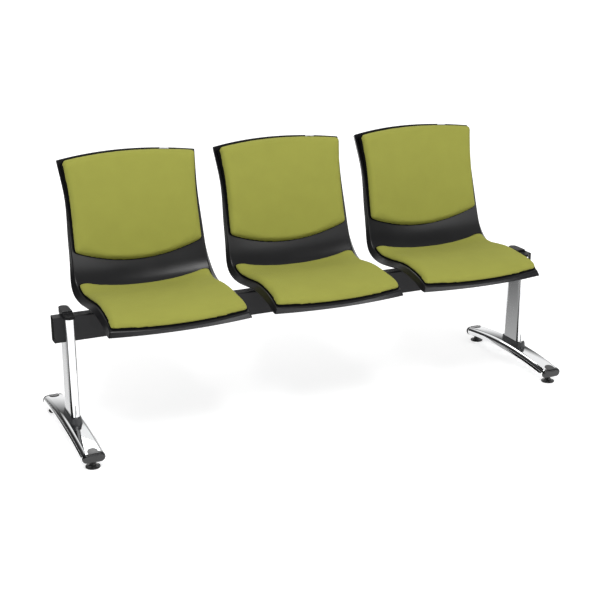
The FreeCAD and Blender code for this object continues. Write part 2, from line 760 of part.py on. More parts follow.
def back_slab(thickness, crown):
    """The back pad's layer: two straight runs that meet at the shoulder."""
    chosen = back_stations()
    middles = [s.point - s.facing * s.hollow for s in chosen[:-1]]
    half = chosen[-1].half
    shoulder = middles[1]
    across = ((middles[1] - middles[0]).normalize() + (middles[2] - middles[1]).normalize())
    across = across.normalize()
    lower = back_run(middles[0], shoulder, half, thickness, crown)
    upper = back_run(shoulder * 2.0 - middles[2], shoulder, half, thickness, crown)
    return lower.common(big_block(shoulder, across * -1.0, BACK_RISE)).fuse(
        upper.common(big_block(shoulder, across, BACK_RISE)))


def seat_pad_outline(inset):
    """Plan of the seat pad: bowed front, cut rear corners; its sides run wide."""
    half = SEAT_HALF_WIDTH + 1.0
    front = -LIP_FRONT + SEAT_PAD_SETBACK + inset
    rear = SEAT_PAD_REAR - inset
    radius = SEAT_PAD_CORNER
    shoulder = rear - radius
    turn = radius * (1.0 - math.sqrt(0.5))
    bow = rear - SEAT_PAD_REAR_BOW
    corners = [vec(half, shoulder, 0), vec(half - turn, rear - turn, 0),
               vec(half - radius, rear, 0)]
    edges = [arc(vec(-half, front, 0), vec(0, front - LIP_BOW, 0), vec(half, front, 0)),
             line(vec(half, front, 0), corners[0]),
             line(corners[0], corners[1]),
             line(corners[1], corners[2]),
             arc(corners[2], vec(0, bow, 0), vec(-corners[2].x, corners[2].y, 0))]
    edges += [line(vec(-a.x, a.y, 0), vec(-b.x, b.y, 0))
              for a, b in ((corners[2], corners[1]), (corners[1], corners[0]))]
    edges.append(line(vec(-half, shoulder, 0), vec(-half, front, 0)))
    return Part.Wire(edges)


def back_pad_outline(inset):
    """Outline of the back pad seen square on: arched top, smiling lower edge."""
    up = up_the_back(back_direction())
    lower, shoulder, under, upper = back_stations()
    top = vec(0, BACK_TOP_REAR, BACK_TOP) - up * (BACK_PAD_TOP_BORDER + inset)
    low_z = CREST_HEIGHT + BACK_PAD_LOW_CORNER
    low = vec(0, BACK_TOP_REAR - up.y / up.z * (BACK_TOP - low_z), low_z) + up * inset
    mid = top + up * (shoulder.point - top).dot(up)

    def side(point, first, last):
        share = (point.z - first.point.z) / (last.point.z - first.point.z)
        return vec(first.half + share * (last.half - first.half) - BACK_PAD_BORDER - inset, 0, 0)

    at_top, at_mid, at_low = (side(top, shoulder, upper), side(mid, shoulder, upper),
                              side(low, lower, shoulder))
    return Part.Wire([
        arc(top - at_top, top + up * BACK_ARCH, top + at_top),
        line(top + at_top, mid + at_mid),
        line(mid + at_mid, low + at_low),
        arc(low + at_low, low - up * BACK_PAD_SMILE, low - at_low),
        line(low - at_low, mid - at_mid),
        line(mid - at_mid, top - at_top),
    ])


def drawn_in(outline, direction, level):
    """A solid through the outline, which it has at the level, drawn in towards the sitter."""
    wires = []
    for distance in (-PAD_REACH, 2.0 * PAD_REACH):
        wire = outline(PAD_TAPER * distance)
        wire.translate(direction * (level + distance))
        wires.append(wire)
    return Part.makeLoft(wires, True, True)


def seat_pad():
    slab = pad_slab(seat_stations() + back_stations()[:1], SEAT_PAD_BORDER,
                    SEAT_PAD_THICKNESS, SEAT_PAD_CROWN)
    return slab.common(drawn_in(seat_pad_outline, vec(0, 0, 1), LIP_TOP)).removeSplitter()


def back_pad():
    slab = back_slab(BACK_PAD_THICKNESS, BACK_PAD_CROWN)
    return slab.common(drawn_in(back_pad_outline, back_direction(), 0.0)).removeSplitter()


# Brackets and clamps

def seat_bracket():
    """Steel plate on the beam that the rails of a shell stand on."""
    plate = box(-BRACKET_LENGTH / 2.0, BRACKET_LENGTH / 2.0,
                -BRACKET_DEPTH / 2.0, BRACKET_DEPTH / 2.0,
                BEAM_TOP, BEAM_TOP + BRACKET_THICKNESS)
    corners = [e for e in plate.Edges if abs(e.tangentAt(e.FirstParameter).z) > 0.99]
    return plate.makeChamfer(BRACKET_CORNER, corners)


def beam_clamp():
    """Pressed steel saddle under the beam with a flange on each side."""
    x = CLAMP_LENGTH / 2.0
    inner = BEAM_DEPTH / 2.0 + FIT_GAP
    outer = inner + CLAMP_THICKNESS
    low = BEAM_BOTTOM - CLAMP_THICKNESS
    body = box(-x, x, -outer, outer, low, BEAM_TOP)
    under = [e for e in body.Edges if abs(e.tangentAt(e.FirstParameter).x) > 0.99
             and e.CenterOfMass.z < low + 1]
    body = body.makeChamfer(CLAMP_THICKNESS / 2.0, under)
    flange = box(-x, x, -outer - CLAMP_FLANGE, outer + CLAMP_FLANGE,
                 BEAM_TOP - CLAMP_THICKNESS, BEAM_TOP)
    body = body.fuse(flange).cut(box(-x - 1, x + 1, -inner, inner, BEAM_BOTTOM, BEAM_TOP + 1))
    return body.removeSplitter()


# The bench

def moved(shape, x, y=0.0):
    copy = shape.copy()
    copy.translate(vec(x, y, 0))
    return copy


def turned_about_foot(shape):
    """The same piece at the other end of the foot."""
    copy = shape.copy()
    copy.rotate(vec(0, FOOT_MIDDLE, 0), vec(0, 0, 1), 180)
    return copy


def seat_pieces():
    single = {
        "seat_shell": seat_shell(),
        "seat_pad": seat_pad(),
        "back_pad": back_pad(),
        "seat_bracket": seat_bracket(),
        "beam_clamp": beam_clamp(),
    }
    pieces = {}
    for number, place in enumerate(SEAT_PLACES, 1):
        for name, shape in single.items():
            pieces["%s_%d" % (name, number)] = moved(shape, place)
    return pieces


def leg_pieces():
    """Pieces of both legs. The trim that repeats shares a node on each leg or for both."""
    single = {
        "leg_upright": upright(),
        "beam_saddle": beam_saddle(),
        "leg_base_plate": base_plate(),
        "foot": foot(),
    }
    cap = foot_cap()
    single["foot_caps"] = Part.makeCompound([cap, turned_about_foot(cap)])
    for end, y in glide_places():
        single["glide_" + end] = glide(y)
    shared = {"leg_hoods": hood(), "leg_collars": collar()}
    places = [(side, sign * LEG_SPACING / 2.0) for side, sign in LEG_SIDES]
    pieces = {}
    for side, x in places:
        for name, shape in single.items():
            pieces["%s_%s" % (name, side)] = moved(shape, x)
    for name, shape in shared.items():
        pieces[name] = Part.makeCompound([moved(shape, x) for side, x in places])
    return pieces


def bench():
    pieces = {"beam": beam()}
    plug = beam_end_plug()
    pieces["beam_end_plug_right"] = plug
    pieces["beam_end_plug_left"] = mirrored(plug)
    pieces.update(seat_pieces())
    pieces.update(leg_pieces())
    return pieces


def export(name, shape):
    if not shape.isValid():
        print("not valid:", name)
    shape.exportStep(os.path.join("parts", name + ".step"))


def main():
    os.makedirs("parts", exist_ok=True)
    pieces = bench()
    boxes = [shape.optimalBoundingBox() for shape in pieces.values()]
    middle = (min(b.YMin for b in boxes) + max(b.YMax for b in boxes)) / 2.0
    print("beam middle plane lies at Y = %.3f" % -middle)
    for name, shape in pieces.items():
        export(name, moved(shape, 0, -middle))
    print(len(pieces), "pieces written")


if __name__ == "__main__":
    main()
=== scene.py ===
import math

import bmesh
import bpy
import numpy as np
from bpy.props import (FloatProperty, FloatVectorProperty, IntProperty,
                       PointerProperty)
from mathutils import Matrix, Vector
from mathutils.bvhtree import BVHTree
from mathutils.noise import fractal


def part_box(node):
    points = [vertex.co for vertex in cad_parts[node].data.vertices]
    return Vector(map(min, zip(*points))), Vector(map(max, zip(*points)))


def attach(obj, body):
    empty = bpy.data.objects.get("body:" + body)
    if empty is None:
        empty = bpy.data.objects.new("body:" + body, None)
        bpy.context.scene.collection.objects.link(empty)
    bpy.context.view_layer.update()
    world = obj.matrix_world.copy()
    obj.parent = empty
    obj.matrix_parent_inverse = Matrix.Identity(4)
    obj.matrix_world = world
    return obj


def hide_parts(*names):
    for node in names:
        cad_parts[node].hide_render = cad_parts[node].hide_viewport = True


bl_info = {
    "name": "Beam seating",
    "version": (1, 0, 0),
    "blender": (4, 5, 0),
    "location": "3D View > Sidebar > Bench",
    "description": "Dresses a packed three-seat bench in upholstery, mouldings and polished metal",
    "category": "Object",
}

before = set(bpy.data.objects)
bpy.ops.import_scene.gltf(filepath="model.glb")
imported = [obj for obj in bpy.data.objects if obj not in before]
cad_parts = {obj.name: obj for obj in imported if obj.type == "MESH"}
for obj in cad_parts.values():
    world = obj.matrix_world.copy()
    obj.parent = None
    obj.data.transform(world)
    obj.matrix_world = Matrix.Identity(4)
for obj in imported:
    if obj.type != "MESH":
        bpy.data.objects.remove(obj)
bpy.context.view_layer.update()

MM = 0.001
KEEP_MATERIAL = -1
SEATS = (1, 2, 3)
SIDES = ("left", "right")
ENDS = ("front", "rear")

BEAM_LOW, BEAM_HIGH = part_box("beam")
MIDDLE_Y = (BEAM_LOW.y + BEAM_HIGH.y) / 2
BEAM_TOP = BEAM_HIGH.z / MM
BEAM_BOTTOM = BEAM_LOW.z / MM
BEAM_HALF_DEPTH = (BEAM_HIGH.y - MIDDLE_Y) / MM

# Shells: sizes in millimetres, places from the beam's middle plane and the floor
LIP_FRONT = 221.0
LIP_TOP = 412.0
LIP_BOTTOM = 394.0
LIP_RAKE = 6.0
LIP_BOW = 23.0
LIP_FLARE = 7.0
LIP_CROWN = 6.0
LIP_HALF_WIDTH = 216.5
SEAT_HALF_WIDTH = 212.0
WAIST_HALF_WIDTH = 219.0
TOP_HALF_WIDTH = 229.0
CREST_HEIGHT = 442.0
BACK_TOP = 820.0
BACK_TOP_REAR = 267.0
BACK_ARCH = 24.0
SEAT_HOLLOW = 13.0
BACK_HOLLOW = 25.0
SHELL_WALL = 4.5
SHELL_FOLD = 3.0
SHELL_COLUMNS = 36
SHELL_ROWS = 96
RAIL_WIDTH = 16.0
RAIL_LENGTH = 156.0
RAIL_SPACING = 150.0
RAIL_SUNK = 2.0
RAIL_REACH = 60.0


def back_hollow(half):
    """Depth of the back's hollow at its middle; the back is bent to one radius."""
    radius = (WAIST_HALF_WIDTH ** 2 + BACK_HOLLOW ** 2) / (2 * BACK_HOLLOW)
    return radius - math.sqrt(radius ** 2 - half ** 2)


# Each row of the side profile: Y, Z, half width, hollow in the middle, depth of the
# turned rim and how far the rim flares outwards
PROFILE = (
    (-266, 382, LIP_HALF_WIDTH, -LIP_CROWN, 26, LIP_FLARE),
    (-LIP_FRONT, LIP_TOP, LIP_HALF_WIDTH, -LIP_CROWN, 20, LIP_FLARE),
    (-151, 433.9, 213.5, 4, 16, 11),
    (-61, CREST_HEIGHT, SEAT_HALF_WIDTH, SEAT_HOLLOW, 13, 17),
    (60, 432, 215, SEAT_HOLLOW, 12, 19),
    (127, 452, 220, 24, 13, 15),
    (158, 505, 221, back_hollow(221), 14, 7),
    (188, 596, 220, back_hollow(220), 15, 2),
    (221, 700.3, WAIST_HALF_WIDTH, back_hollow(WAIST_HALF_WIDTH), 16, -3),
    (262.4, 808, 228, back_hollow(228), 18.7, -5.7),
    (287, 872, 233.3, back_hollow(233.3), 20.3, -7.3),
)

# Pads
BACK_PAD_BORDER = 10.0
BACK_PAD_TOP_BORDER = 10.0
BACK_PAD_THICKNESS = 25.0
BACK_PAD_CROWN = 5.0
BACK_PAD_STAND_OFF = 24.0
BACK_PAD_CORNER_HEIGHT = 554.0
BACK_PAD_SMILE = 47.0
BACK_PAD_CORNERS = (9.0, 13.0)
SEAT_PAD_BORDER = 2.5
SEAT_PAD_THICKNESS = 18.0
SEAT_PAD_CROWN = 6.0
SEAT_PAD_REAR = 137.0
SEAT_PAD_REAR_BOW = 14.0
SEAT_PAD_SETBACK = 5.5
SEAT_PAD_CORNERS = (8.0, 30.0)
BOARD_LIFT = 0.4
BOARD_THICKNESS = 3.4
BOARD_SHOWS = 1.0
BOARD_SPARE = 20.0
EDGE_SHARE = 0.4
PAD_GRID = 4.5
PAD_VOXEL = 4.6
PAD_SWELL = 2.5
PAD_PRESSURE = 4.0
PAD_FRAMES = 20
PAD_SMOOTHINGS = 4
PUCKER = 0.5
PUCKER_SPACING = 55.0

# Feet and their caps
FOOT_LENGTH = 502.0
FOOT_WIDTH = 70.0
FOOT_THICKNESS = 30.0
FOOT_WALL = 3.0
FOOT_REARWARD = 6.5
FOOT_RISE = 20.0
FOOT_MIDDLE_HEIGHT = 54.5
FOOT_STEPS = 60
FOOT_CAP_THICKNESS = 10.0
FOOT_CAP_PROUD = 0.6
FOOT_CAP_ROUNDING = 7.5
TONGUE_RADIUS = 16.0
TONGUE_LENGTH = 27.0
TONGUE_THICKNESS = 2.2
TONGUE_SUNK = 0.6

# Uprights, hoods and collars
UPRIGHT_THICKNESS = 28.0
UPRIGHT_DEPTH = 98.0
UPRIGHT_WALL = 2.5
UPRIGHT_FORWARD = 5.0
UPRIGHT_FOOT = FOOT_MIDDLE_HEIGHT + 10
UPRIGHT_SIDES = 56
SLOT_GAP = 0.2
HOOD_OVERHANG = 1.0
HOOD_LIFT = 0.2
HOOD_RISE = 17.0
HOOD_CUTS = 32
HOOD_NOSE_DROP = 8.0
HOOD_NOSE_LENGTH = 27.0
HOOD_STEP = 9.0
HOOD_SKIRT_HEIGHT = 6.5
HOOD_SKIRT_PROUD = 1.2
HOOD_SKIRT_SHARE = 0.62
COLLAR_HEIGHT = 19.0
COLLAR_TOP_WIDTH = 32.0
COLLAR_BASE_WIDTH = 39.0
COLLAR_BASE_LENGTH = 119.0
COLLAR_FOOT = 4.0
COLLAR_LEAN_SHARE = 0.36
COLLAR_GAP = 0.5

# Glides, plugs, tags and fasteners
GLIDE_DIAMETER = 45.0
PLUG_WALL = 2.5
PLUG_SUNK = 12.0
TAG_PLACE = 131.0
TAG_LENGTH = 17.0
TAG_FRONT = 9.0
TAG_LIFT = 0.5
TAG_THICKNESS = 0.4
BOLT_SPACING = 90.0
BOLT_REACH = 35.0
BOLT_HEAD = 13.0
BOLT_HEAD_HEIGHT = 5.3
NUT_HEIGHT = 6.0
CLAMP_FLANGE = 5.0
SCREW_REACH = 62.0
SCREW_HEAD = 8.0
SCREW_HEAD_HEIGHT = 2.2
WASHER = 1.2

# Stage, in metres
CAMERA_PLACE = Vector((-1.605467, MIDDLE_Y - 3.434061, 1.589553))
CAMERA_TURN = -24.561
CAMERA_FALL = 18.228
FLOOR_RADIUS = 40
FLOOR_GLOW = 0.5
FAR_FLOOR_GLOW = 0.68
MIRROR_DIM = 0.25
MIRROR_GAP = 0.06


def middle_x(node):
    low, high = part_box(node)
    return (low.x + high.x) / 2


def beside(node, y=0.0, z=0.0):
    """A place in millimetres, over the middle of a node's width."""
    return middle_x(node) / MM, y, z


# Colour and materials

def linear(text):
    """A hex sRGB colour as linear RGBA."""
    parts = [int(text[i:i + 2], 16) / 255 for i in (1, 3, 5)]
    return tuple(c / 12.92 if c <= 0.04045 else ((c + 0.055) / 1.055) ** 2.4
                 for c in parts) + (1.0,)


def shaded(colour, share):
    return tuple(min(c * share, 1.0) for c in colour[:3]) + (1.0,)


def add_node(tree, kind, inputs=None, **settings):
    """A node with its settings; an input is given a value, or a socket to link from."""
    node = tree.nodes.new(kind)
    for name, value in settings.items():
        setattr(node, name, value)
    for name, value in (inputs or {}).items():
        if isinstance(value, bpy.types.NodeSocket):
            tree.links.new(value, node.inputs[name])
        else:
            node.inputs[name].default_value = value
    return node


def new_material(name):
    """An empty material, and the coordinates of its object to lay patterns by."""
    material = bpy.data.materials.new(name)
    material.use_nodes = True
    tree = material.node_tree
    tree.nodes.clear()
    return material, tree, add_node(tree, "ShaderNodeTexCoord").outputs["Object"]


def grained(name, colour, spread, patch_mm, rough, rougher, grain_mm, detail, relief_mm,
            strength, ior, shine):
    """Colour and gloss that wander in patches, over a fine grain in relief."""
    material, tree, place = new_material(name)
    grain = add_node(tree, "ShaderNodeTexNoise",
                     {"Vector": place, "Scale": 1 / (grain_mm * MM), "Detail": detail})
    patches = add_node(tree, "ShaderNodeTexNoise",
                       {"Vector": place, "Scale": 1 / (patch_mm * MM), "Detail": 2.0})
    shades = add_node(tree, "ShaderNodeMix",
                      {0: patches.outputs["Fac"], 6: shaded(colour, 1 - spread),
                       7: shaded(colour, 1 + spread)}, data_type="RGBA")
    gloss = add_node(tree, "ShaderNodeMapRange",
                     {"Value": patches.outputs["Fac"], "From Min": 0.3, "From Max": 0.7,
                      "To Min": rough, "To Max": rougher})
    relief = add_node(tree, "ShaderNodeBump",
                      {"Height": grain.outputs["Fac"], "Distance": relief_mm * MM,
                       "Strength": strength})
    shader = add_node(tree, "ShaderNodeBsdfPrincipled",
                      {"Base Color": shades.outputs[2], "Roughness": gloss.outputs["Result"],
                       "IOR": ior, "Specular IOR Level": shine,
                       "Normal": relief.outputs["Normal"]})
    add_node(tree, "ShaderNodeOutputMaterial", {"Surface": shader.outputs["BSDF"]})
    return material


def moulded_polypropylene(colour):
    """Shells: black polypropylene from a lightly spark-eroded tool, so a soft satin."""
    # The eroded grain is 0.3 mm; it is drawn at 1.2 mm so that the render holds it
    return grained("moulded_polypropylene", colour, spread=0.15, patch_mm=90, rough=0.28,
                   rougher=0.34, grain_mm=1.2, detail=3.0, relief_mm=0.04, strength=0.4,
                   ior=1.49, shine=0.42)


def polished_moulding(name, colour, rough, shine=0.5):
    """Small trim: ABS or nylon from a polished tool, mostly glossier than the shells."""
    return grained(name, colour, spread=0.12, patch_mm=40, rough=rough, rougher=rough + 0.08,
                   grain_mm=1.5, detail=2.0, relief_mm=0.02, strength=0.3, ior=1.52,
                   shine=shine)


def powder_coated_steel(name, colour, rough):
    """Beam and brackets: black powder coat, with the faint orange peel of the oven."""
    return grained(name, colour, spread=0.12, patch_mm=120, rough=rough, rougher=rough + 0.06,
                   grain_mm=2.2, detail=1.0, relief_mm=0.05, strength=0.3, ior=1.5,
                   shine=0.25)


def fibrous(name, colour, spread, fibre_mm, detail, strength, rough, shine):
    """Dull fibres in two shades, in slight relief."""
    material, tree, place = new_material(name)
    fibres = add_node(tree, "ShaderNodeTexNoise",
                      {"Vector": place, "Scale": 1 / (fibre_mm * MM), "Detail": detail})
    shades = add_node(tree, "ShaderNodeMix",
                      {0: fibres.outputs["Fac"], 6: shaded(colour, 1 - spread),
                       7: shaded(colour, 1 + spread)}, data_type="RGBA")
    relief = add_node(tree, "ShaderNodeBump",
                      {"Height": fibres.outputs["Fac"], "Distance": 0.05 * MM,
                       "Strength": strength})
    shader = add_node(tree, "ShaderNodeBsdfPrincipled",
                      {"Base Color": shades.outputs[2], "Roughness": rough,
                       "Specular IOR Level": shine, "Normal": relief.outputs["Normal"]})
    add_node(tree, "ShaderNodeOutputMaterial", {"Surface": shader.outputs["BSDF"]})
    return material


def fibre_board_painted_shade(colour):
    """Boards under the pads: pressed wood fibre, quite dull, near-black as painted shade of the
    gap round each pad.
    """
    return fibrous("fibre_board_painted_shade", colour, spread=0.3, fibre_mm=3.0, detail=4.0,
                   strength=0.5, rough=0.9, shine=0.1)


def blank_label(colour):
    """A blank white woven tag, matt with a fine grain of threads."""
    return fibrous("white_woven_tag", colour, spread=0.05, fibre_mm=0.8, detail=2.0,
                   strength=0.4, rough=0.7, shine=0.5)


def woven_polyester(colour):
    """Upholstery: flat polyester weave stretched over foam, matt with a faint sheen."""
    material, tree, place = new_material("woven_polyester")
    parts = add_node(tree, "ShaderNodeSeparateXYZ", {"Vector": place})
    along = add_node(tree, "ShaderNodeMath", {0: parts.outputs["Y"], 1: parts.outputs["Z"]},
                     operation="ADD")
    # Threads lie 0.8 mm apart; they are drawn 2.4 mm apart so that the render holds them
    pitch = 2 * math.pi / (2.4 * MM)
    waves = []
    for source in (parts.outputs["X"], along.outputs[0]):
        turn = add_node(tree, "ShaderNodeMath", {0: source, 1: pitch}, operation="MULTIPLY")
        waves.append(add_node(tree, "ShaderNodeMath", {0: turn.outputs[0]},
                              operation="SINE").outputs[0])
    weave = add_node(tree, "ShaderNodeMath", {0: waves[0], 1: waves[1]}, operation="MULTIPLY")
    fibres = add_node(tree, "ShaderNodeTexNoise",
                      {"Vector": place, "Scale": 1 / (1.0 * MM), "Detail": 3.0,
                       "Roughness": 0.6})
    rough_weave = add_node(tree, "ShaderNodeMath",
                           {0: weave.outputs[0], 1: fibres.outputs["Fac"]}, operation="ADD")
    clouds = add_node(tree, "ShaderNodeTexNoise",
                      {"Vector": place, "Scale": 1 / (60.0 * MM), "Detail": 3.0})
    thread_share = add_node(tree, "ShaderNodeMapRange",
                            {"Value": weave.outputs[0], "From Min": -1.0, "From Max": 1.0,
                             "To Min": -0.2, "To Max": 0.2})
    cloud_share = add_node(tree, "ShaderNodeMapRange",
                           {"Value": clouds.outputs["Fac"], "From Min": 0.3, "From Max": 0.7,
                            "To Min": 0.38, "To Max": 0.62})
    share = add_node(tree, "ShaderNodeMath", {0: thread_share.outputs["Result"],
                                              1: cloud_share.outputs["Result"]},
                     operation="ADD")
    shades = add_node(tree, "ShaderNodeMix",
                      {0: share.outputs[0], 6: shaded(colour, 0.91), 7: shaded(colour, 1.09)},
                      data_type="RGBA")
    relief = add_node(tree, "ShaderNodeBump",
                      {"Height": rough_weave.outputs[0], "Distance": 0.16 * MM,
                       "Strength": 0.5})
    shader = add_node(tree, "ShaderNodeBsdfPrincipled",
                      {"Base Color": shades.outputs[2], "Roughness": 0.9,
                       "Sheen Weight": 0.12, "Sheen Roughness": 0.4,
                       "Sheen Tint": linear("#dcdc9c"), "Specular IOR Level": 0.2,
                       "Normal": relief.outputs["Normal"]})
    add_node(tree, "ShaderNodeOutputMaterial", {"Surface": shader.outputs["BSDF"]})
    return material


def plated_steel(name, colour, rough, rougher):
    """Polished and plated steel: chromium is nearly a mirror, zinc is duller."""
    material, tree, place = new_material(name)
    smears = add_node(tree, "ShaderNodeTexNoise",
                      {"Vector": place, "Scale": 1 / (60.0 * MM), "Detail": 4.0})
    tints = add_node(tree, "ShaderNodeTexNoise",
                     {"Vector": place, "Scale": 1 / (35.0 * MM), "Detail": 3.0})
    shades = add_node(tree, "ShaderNodeMix",
                      {0: tints.outputs["Fac"], 6: shaded(colour, 0.98),
                       7: shaded(colour, 1.02)}, data_type="RGBA")
    gloss = add_node(tree, "ShaderNodeMapRange",
                     {"Value": smears.outputs["Fac"], "From Min": 0.35, "From Max": 0.7,
                      "To Min": rough, "To Max": rougher})
    shader = add_node(tree, "ShaderNodeBsdfPrincipled",
                      {"Base Color": shades.outputs[2], "Metallic": 1.0,
                       "Roughness": gloss.outputs["Result"]})
    add_node(tree, "ShaderNodeOutputMaterial", {"Surface": shader.outputs["BSDF"]})
    return material


FINISHES = {}


def finishes():
    """Each finish by the name that the pieces use, made once."""
    if not FINISHES:
        colours = bpy.context.scene.bench_colours
        FINISHES.update({
            "shell": moulded_polypropylene(colours.shell),
            "fabric": woven_polyester(colours.fabric),
            # The boards' near-black is painted shade round the pads
            "board": fibre_board_painted_shade(linear("#0a0a0a")),
            "trim": polished_moulding("moulded_abs", colours.trim, 0.24, 0.14),
            "cap": polished_moulding("polished_abs", colours.trim, 0.2, 0.7),
            "collar": polished_moulding("moulded_grey_abs", colours.collar, 0.3, 0.6),
            "glide": polished_moulding("moulded_nylon", linear("#141415"), 0.22),
            "plug": polished_moulding("moulded_polyethylene", linear("#0d0d0e"), 0.5),
            "beam": powder_coated_steel("powder_coated_tube", colours.beam, 0.38),
            "bracket": powder_coated_steel("powder_coated_plate", colours.beam, 0.5),
            "chrome": plated_steel("chromed_steel", linear("#ecedee"), 0.04, 0.08),
            "zinc": plated_steel("zinc_plated_steel", linear("#b9bbbd"), 0.3, 0.45),
            "tag": blank_label(linear("#ecedee")),
        })
    return FINISHES


# Making pieces

def piece(name, bm, finish, body, replaced=(), smooth=True, at=None):
    """The finished mesh as a piece that rides on a body of the frame.

    A mesh in millimetres comes with the place for its zero, measured from the middle
    plane of the beam.
    """
    if at is not None:
        bmesh.ops.translate(bm, vec=at, verts=bm.verts)
        bmesh.ops.transform(bm, matrix=Matrix.Translation((0, MIDDLE_Y, 0))
                            @ Matrix.Scale(MM, 4), verts=bm.verts)
    mesh = bpy.data.meshes.new(name)
    for face in bm.faces:
        face.smooth = smooth
    bm.to_mesh(mesh)
    bm.free()
    mesh.materials.append(finishes()[finish])
    made = bpy.data.objects.new(name, mesh)
    bpy.context.scene.collection.objects.link(made)
    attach(made, body)
    if replaced:
        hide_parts(*replaced)
    return made


def give_wall(made, wall_mm, even=False):
    wall = made.modifiers.new("wall", "SOLIDIFY")
    wall.thickness = wall_mm * MM
    wall.offset = -1
    wall.use_even_offset = even


def flatten_light(made):
    weighted = made.modifiers.new("flat faces", "WEIGHTED_NORMAL")
    weighted.keep_sharp = True


def soften(made, width_mm, segments=2, angle=50.0):
    """Rounds the edges left sharp and keeps flat faces flat in the light."""
    bevel = made.modifiers.new("rounded edges", "BEVEL")
    bevel.width = width_mm * MM
    bevel.segments = segments
    bevel.limit_method = "ANGLE"
    bevel.angle_limit = math.radians(angle)
    bevel.harden_normals = False
    flatten_light(made)


def outward(bm):
    bmesh.ops.remove_doubles(bm, verts=bm.verts, dist=1e-6)
    bmesh.ops.recalc_face_normals(bm, faces=bm.faces)


def oval_outline(bm, width, length, segments):
    """A flat-sided oval ring in the XY plane, its long way along Y."""
    made = bmesh.ops.create_circle(bm, cap_ends=False, radius=width / 2, segments=segments,
                                   matrix=Matrix.Rotation(math.pi / segments, 4, "Z"))
    straight = (length - width) / 2
    for vert in made["verts"]:
        vert.co.y += math.copysign(straight, vert.co.y)
    return list({e for v in made["verts"] for e in v.link_edges})


def pull(bm, ring):
    """Extrudes a ring of edges, and gives the new vertices and the new ring."""
    made = bmesh.ops.extrude_edge_only(bm, edges=ring)["geom"]
    verts = [g for g in made if isinstance(g, bmesh.types.BMVert)]
    held = set(verts)
    edges = [g for g in made if isinstance(g, bmesh.types.BMEdge)]
    return verts, [e for e in edges if all(v in held for v in e.verts)]


def sweep(bm, ring, steps):
    """Carries a ring of edges through the steps, each a matrix from where it started."""
    last = Matrix.Identity(4)
    for step in steps:
        verts, ring = pull(bm, ring)
        bmesh.ops.transform(bm, matrix=step @ last.inverted(), verts=verts)
        last = step
    return ring


def oval_block(width, length, height, segments=UPRIGHT_SIDES):
    """A closed block on the XY plane with a flat-sided oval outline."""
    bm = bmesh.new()
    low = oval_outline(bm, width, length, segments)
    high = sweep(bm, low, [Matrix.Translation((0, 0, height))])
    bmesh.ops.contextual_create(bm, geom=low)
    bmesh.ops.contextual_create(bm, geom=high)
    return bm


def cut(bm, point, direction, take_off=False):
    """Cuts along a plane; it may take off what lies beyond, and closes that cut."""
    made = bmesh.ops.bisect_plane(bm, geom=bm.verts[:] + bm.edges[:] + bm.faces[:],
                                  plane_co=point, plane_no=direction, clear_outer=take_off)
    if take_off:
        edges = [g for g in made["geom_cut"] if isinstance(g, bmesh.types.BMEdge)]
        bmesh.ops.contextual_create(bm, geom=edges)


# The sitting face that a shell and its pads share

class SittingFace:
    """The face of one seat, in millimetres about the seat's middle."""

    def __init__(self):
        self.rows = np.array(PROFILE, float)
        steps = np.hypot(*np.diff(self.rows[:, :2], axis=0).T)
        self.places = np.concatenate([[0.0], np.cumsum(steps)])
        self.bends = self.second_slopes()
        self.start, self.end = self.places[0], self.places[-1]

    def second_slopes(self):
        """Second slopes of the natural cubic through the rows."""
        h = np.diff(self.places)
        n = len(self.places)
        matrix, right = np.zeros((n, n)), np.zeros((n, self.rows.shape[1]))
        matrix[0, 0] = matrix[-1, -1] = 1.0
        for i in range(1, n - 1):
            matrix[i, i - 1:i + 2] = h[i - 1], 2 * (h[i - 1] + h[i]), h[i]
            right[i] = 6 * ((self.rows[i + 1] - self.rows[i]) / h[i]
                            - (self.rows[i] - self.rows[i - 1]) / h[i - 1])
        return np.linalg.solve(matrix, right)

    def values(self, u):
        """The six measures of the profile at a place along it."""
        i = int(np.clip(np.searchsorted(self.places, u) - 1, 0, len(self.places) - 2))
        h = self.places[i + 1] - self.places[i]
        a, b = (self.places[i + 1] - u) / h, (u - self.places[i]) / h
        return (a * self.rows[i] + b * self.rows[i + 1]
                + ((a ** 3 - a) * self.bends[i] + (b ** 3 - b) * self.bends[i + 1])
                * h * h / 6)

    def facing(self, u):
        """Unit direction towards the sitter."""
        along = self.values(u + 0.5)[:2] - self.values(u - 0.5)[:2]
        along /= np.hypot(*along)
        return Vector((0, -along[1], along[0]))

    def half(self, u):
        return self.values(u)[2]

    def point(self, u, x, lift=0.0):
        """On the face at x from the middle, raised towards the sitter by lift."""
        y, z, half, hollow = self.values(u)[:4]
        depth = 0.0
        if abs(hollow) > 1e-6:
            radius = (half ** 2 + hollow ** 2) / (2 * hollow)
            fall = math.sqrt(max(radius ** 2 - x ** 2, 0))
            depth = hollow - radius + math.copysign(fall, radius)
        return Vector((x, y, z)) + self.facing(u) * (lift - depth)

    def meeting(self, x_share, limit, low, high, border=0.0):
        """Where the face leaves a limit, at a share of its half width."""
        sign = limit(self.point(low, x_share * (self.half(low) - border))) > 0
        for _ in range(40):
            middle = (low + high) / 2
            x = x_share * (self.half(middle) - border)
            if (limit(self.point(middle, x)) > 0) == sign:
                low = middle
            else:
                high = middle
        return (low + high) / 2


FACE = SittingFace()
LIP_PLACE = FACE.places[1]
CREST_PLACE = FACE.places[3]
HIP_PLACE = FACE.places[4]
BEND_PLACE = FACE.places[5]
WAIST_PLACE = FACE.places[7]
TOP_PLACE = FACE.places[9]
BACK_FACING = FACE.facing(TOP_PLACE)
BACK_UP = Vector((0, BACK_FACING.z, -BACK_FACING.y))


# Limits: each is positive beyond the line where a shell or a pad ends

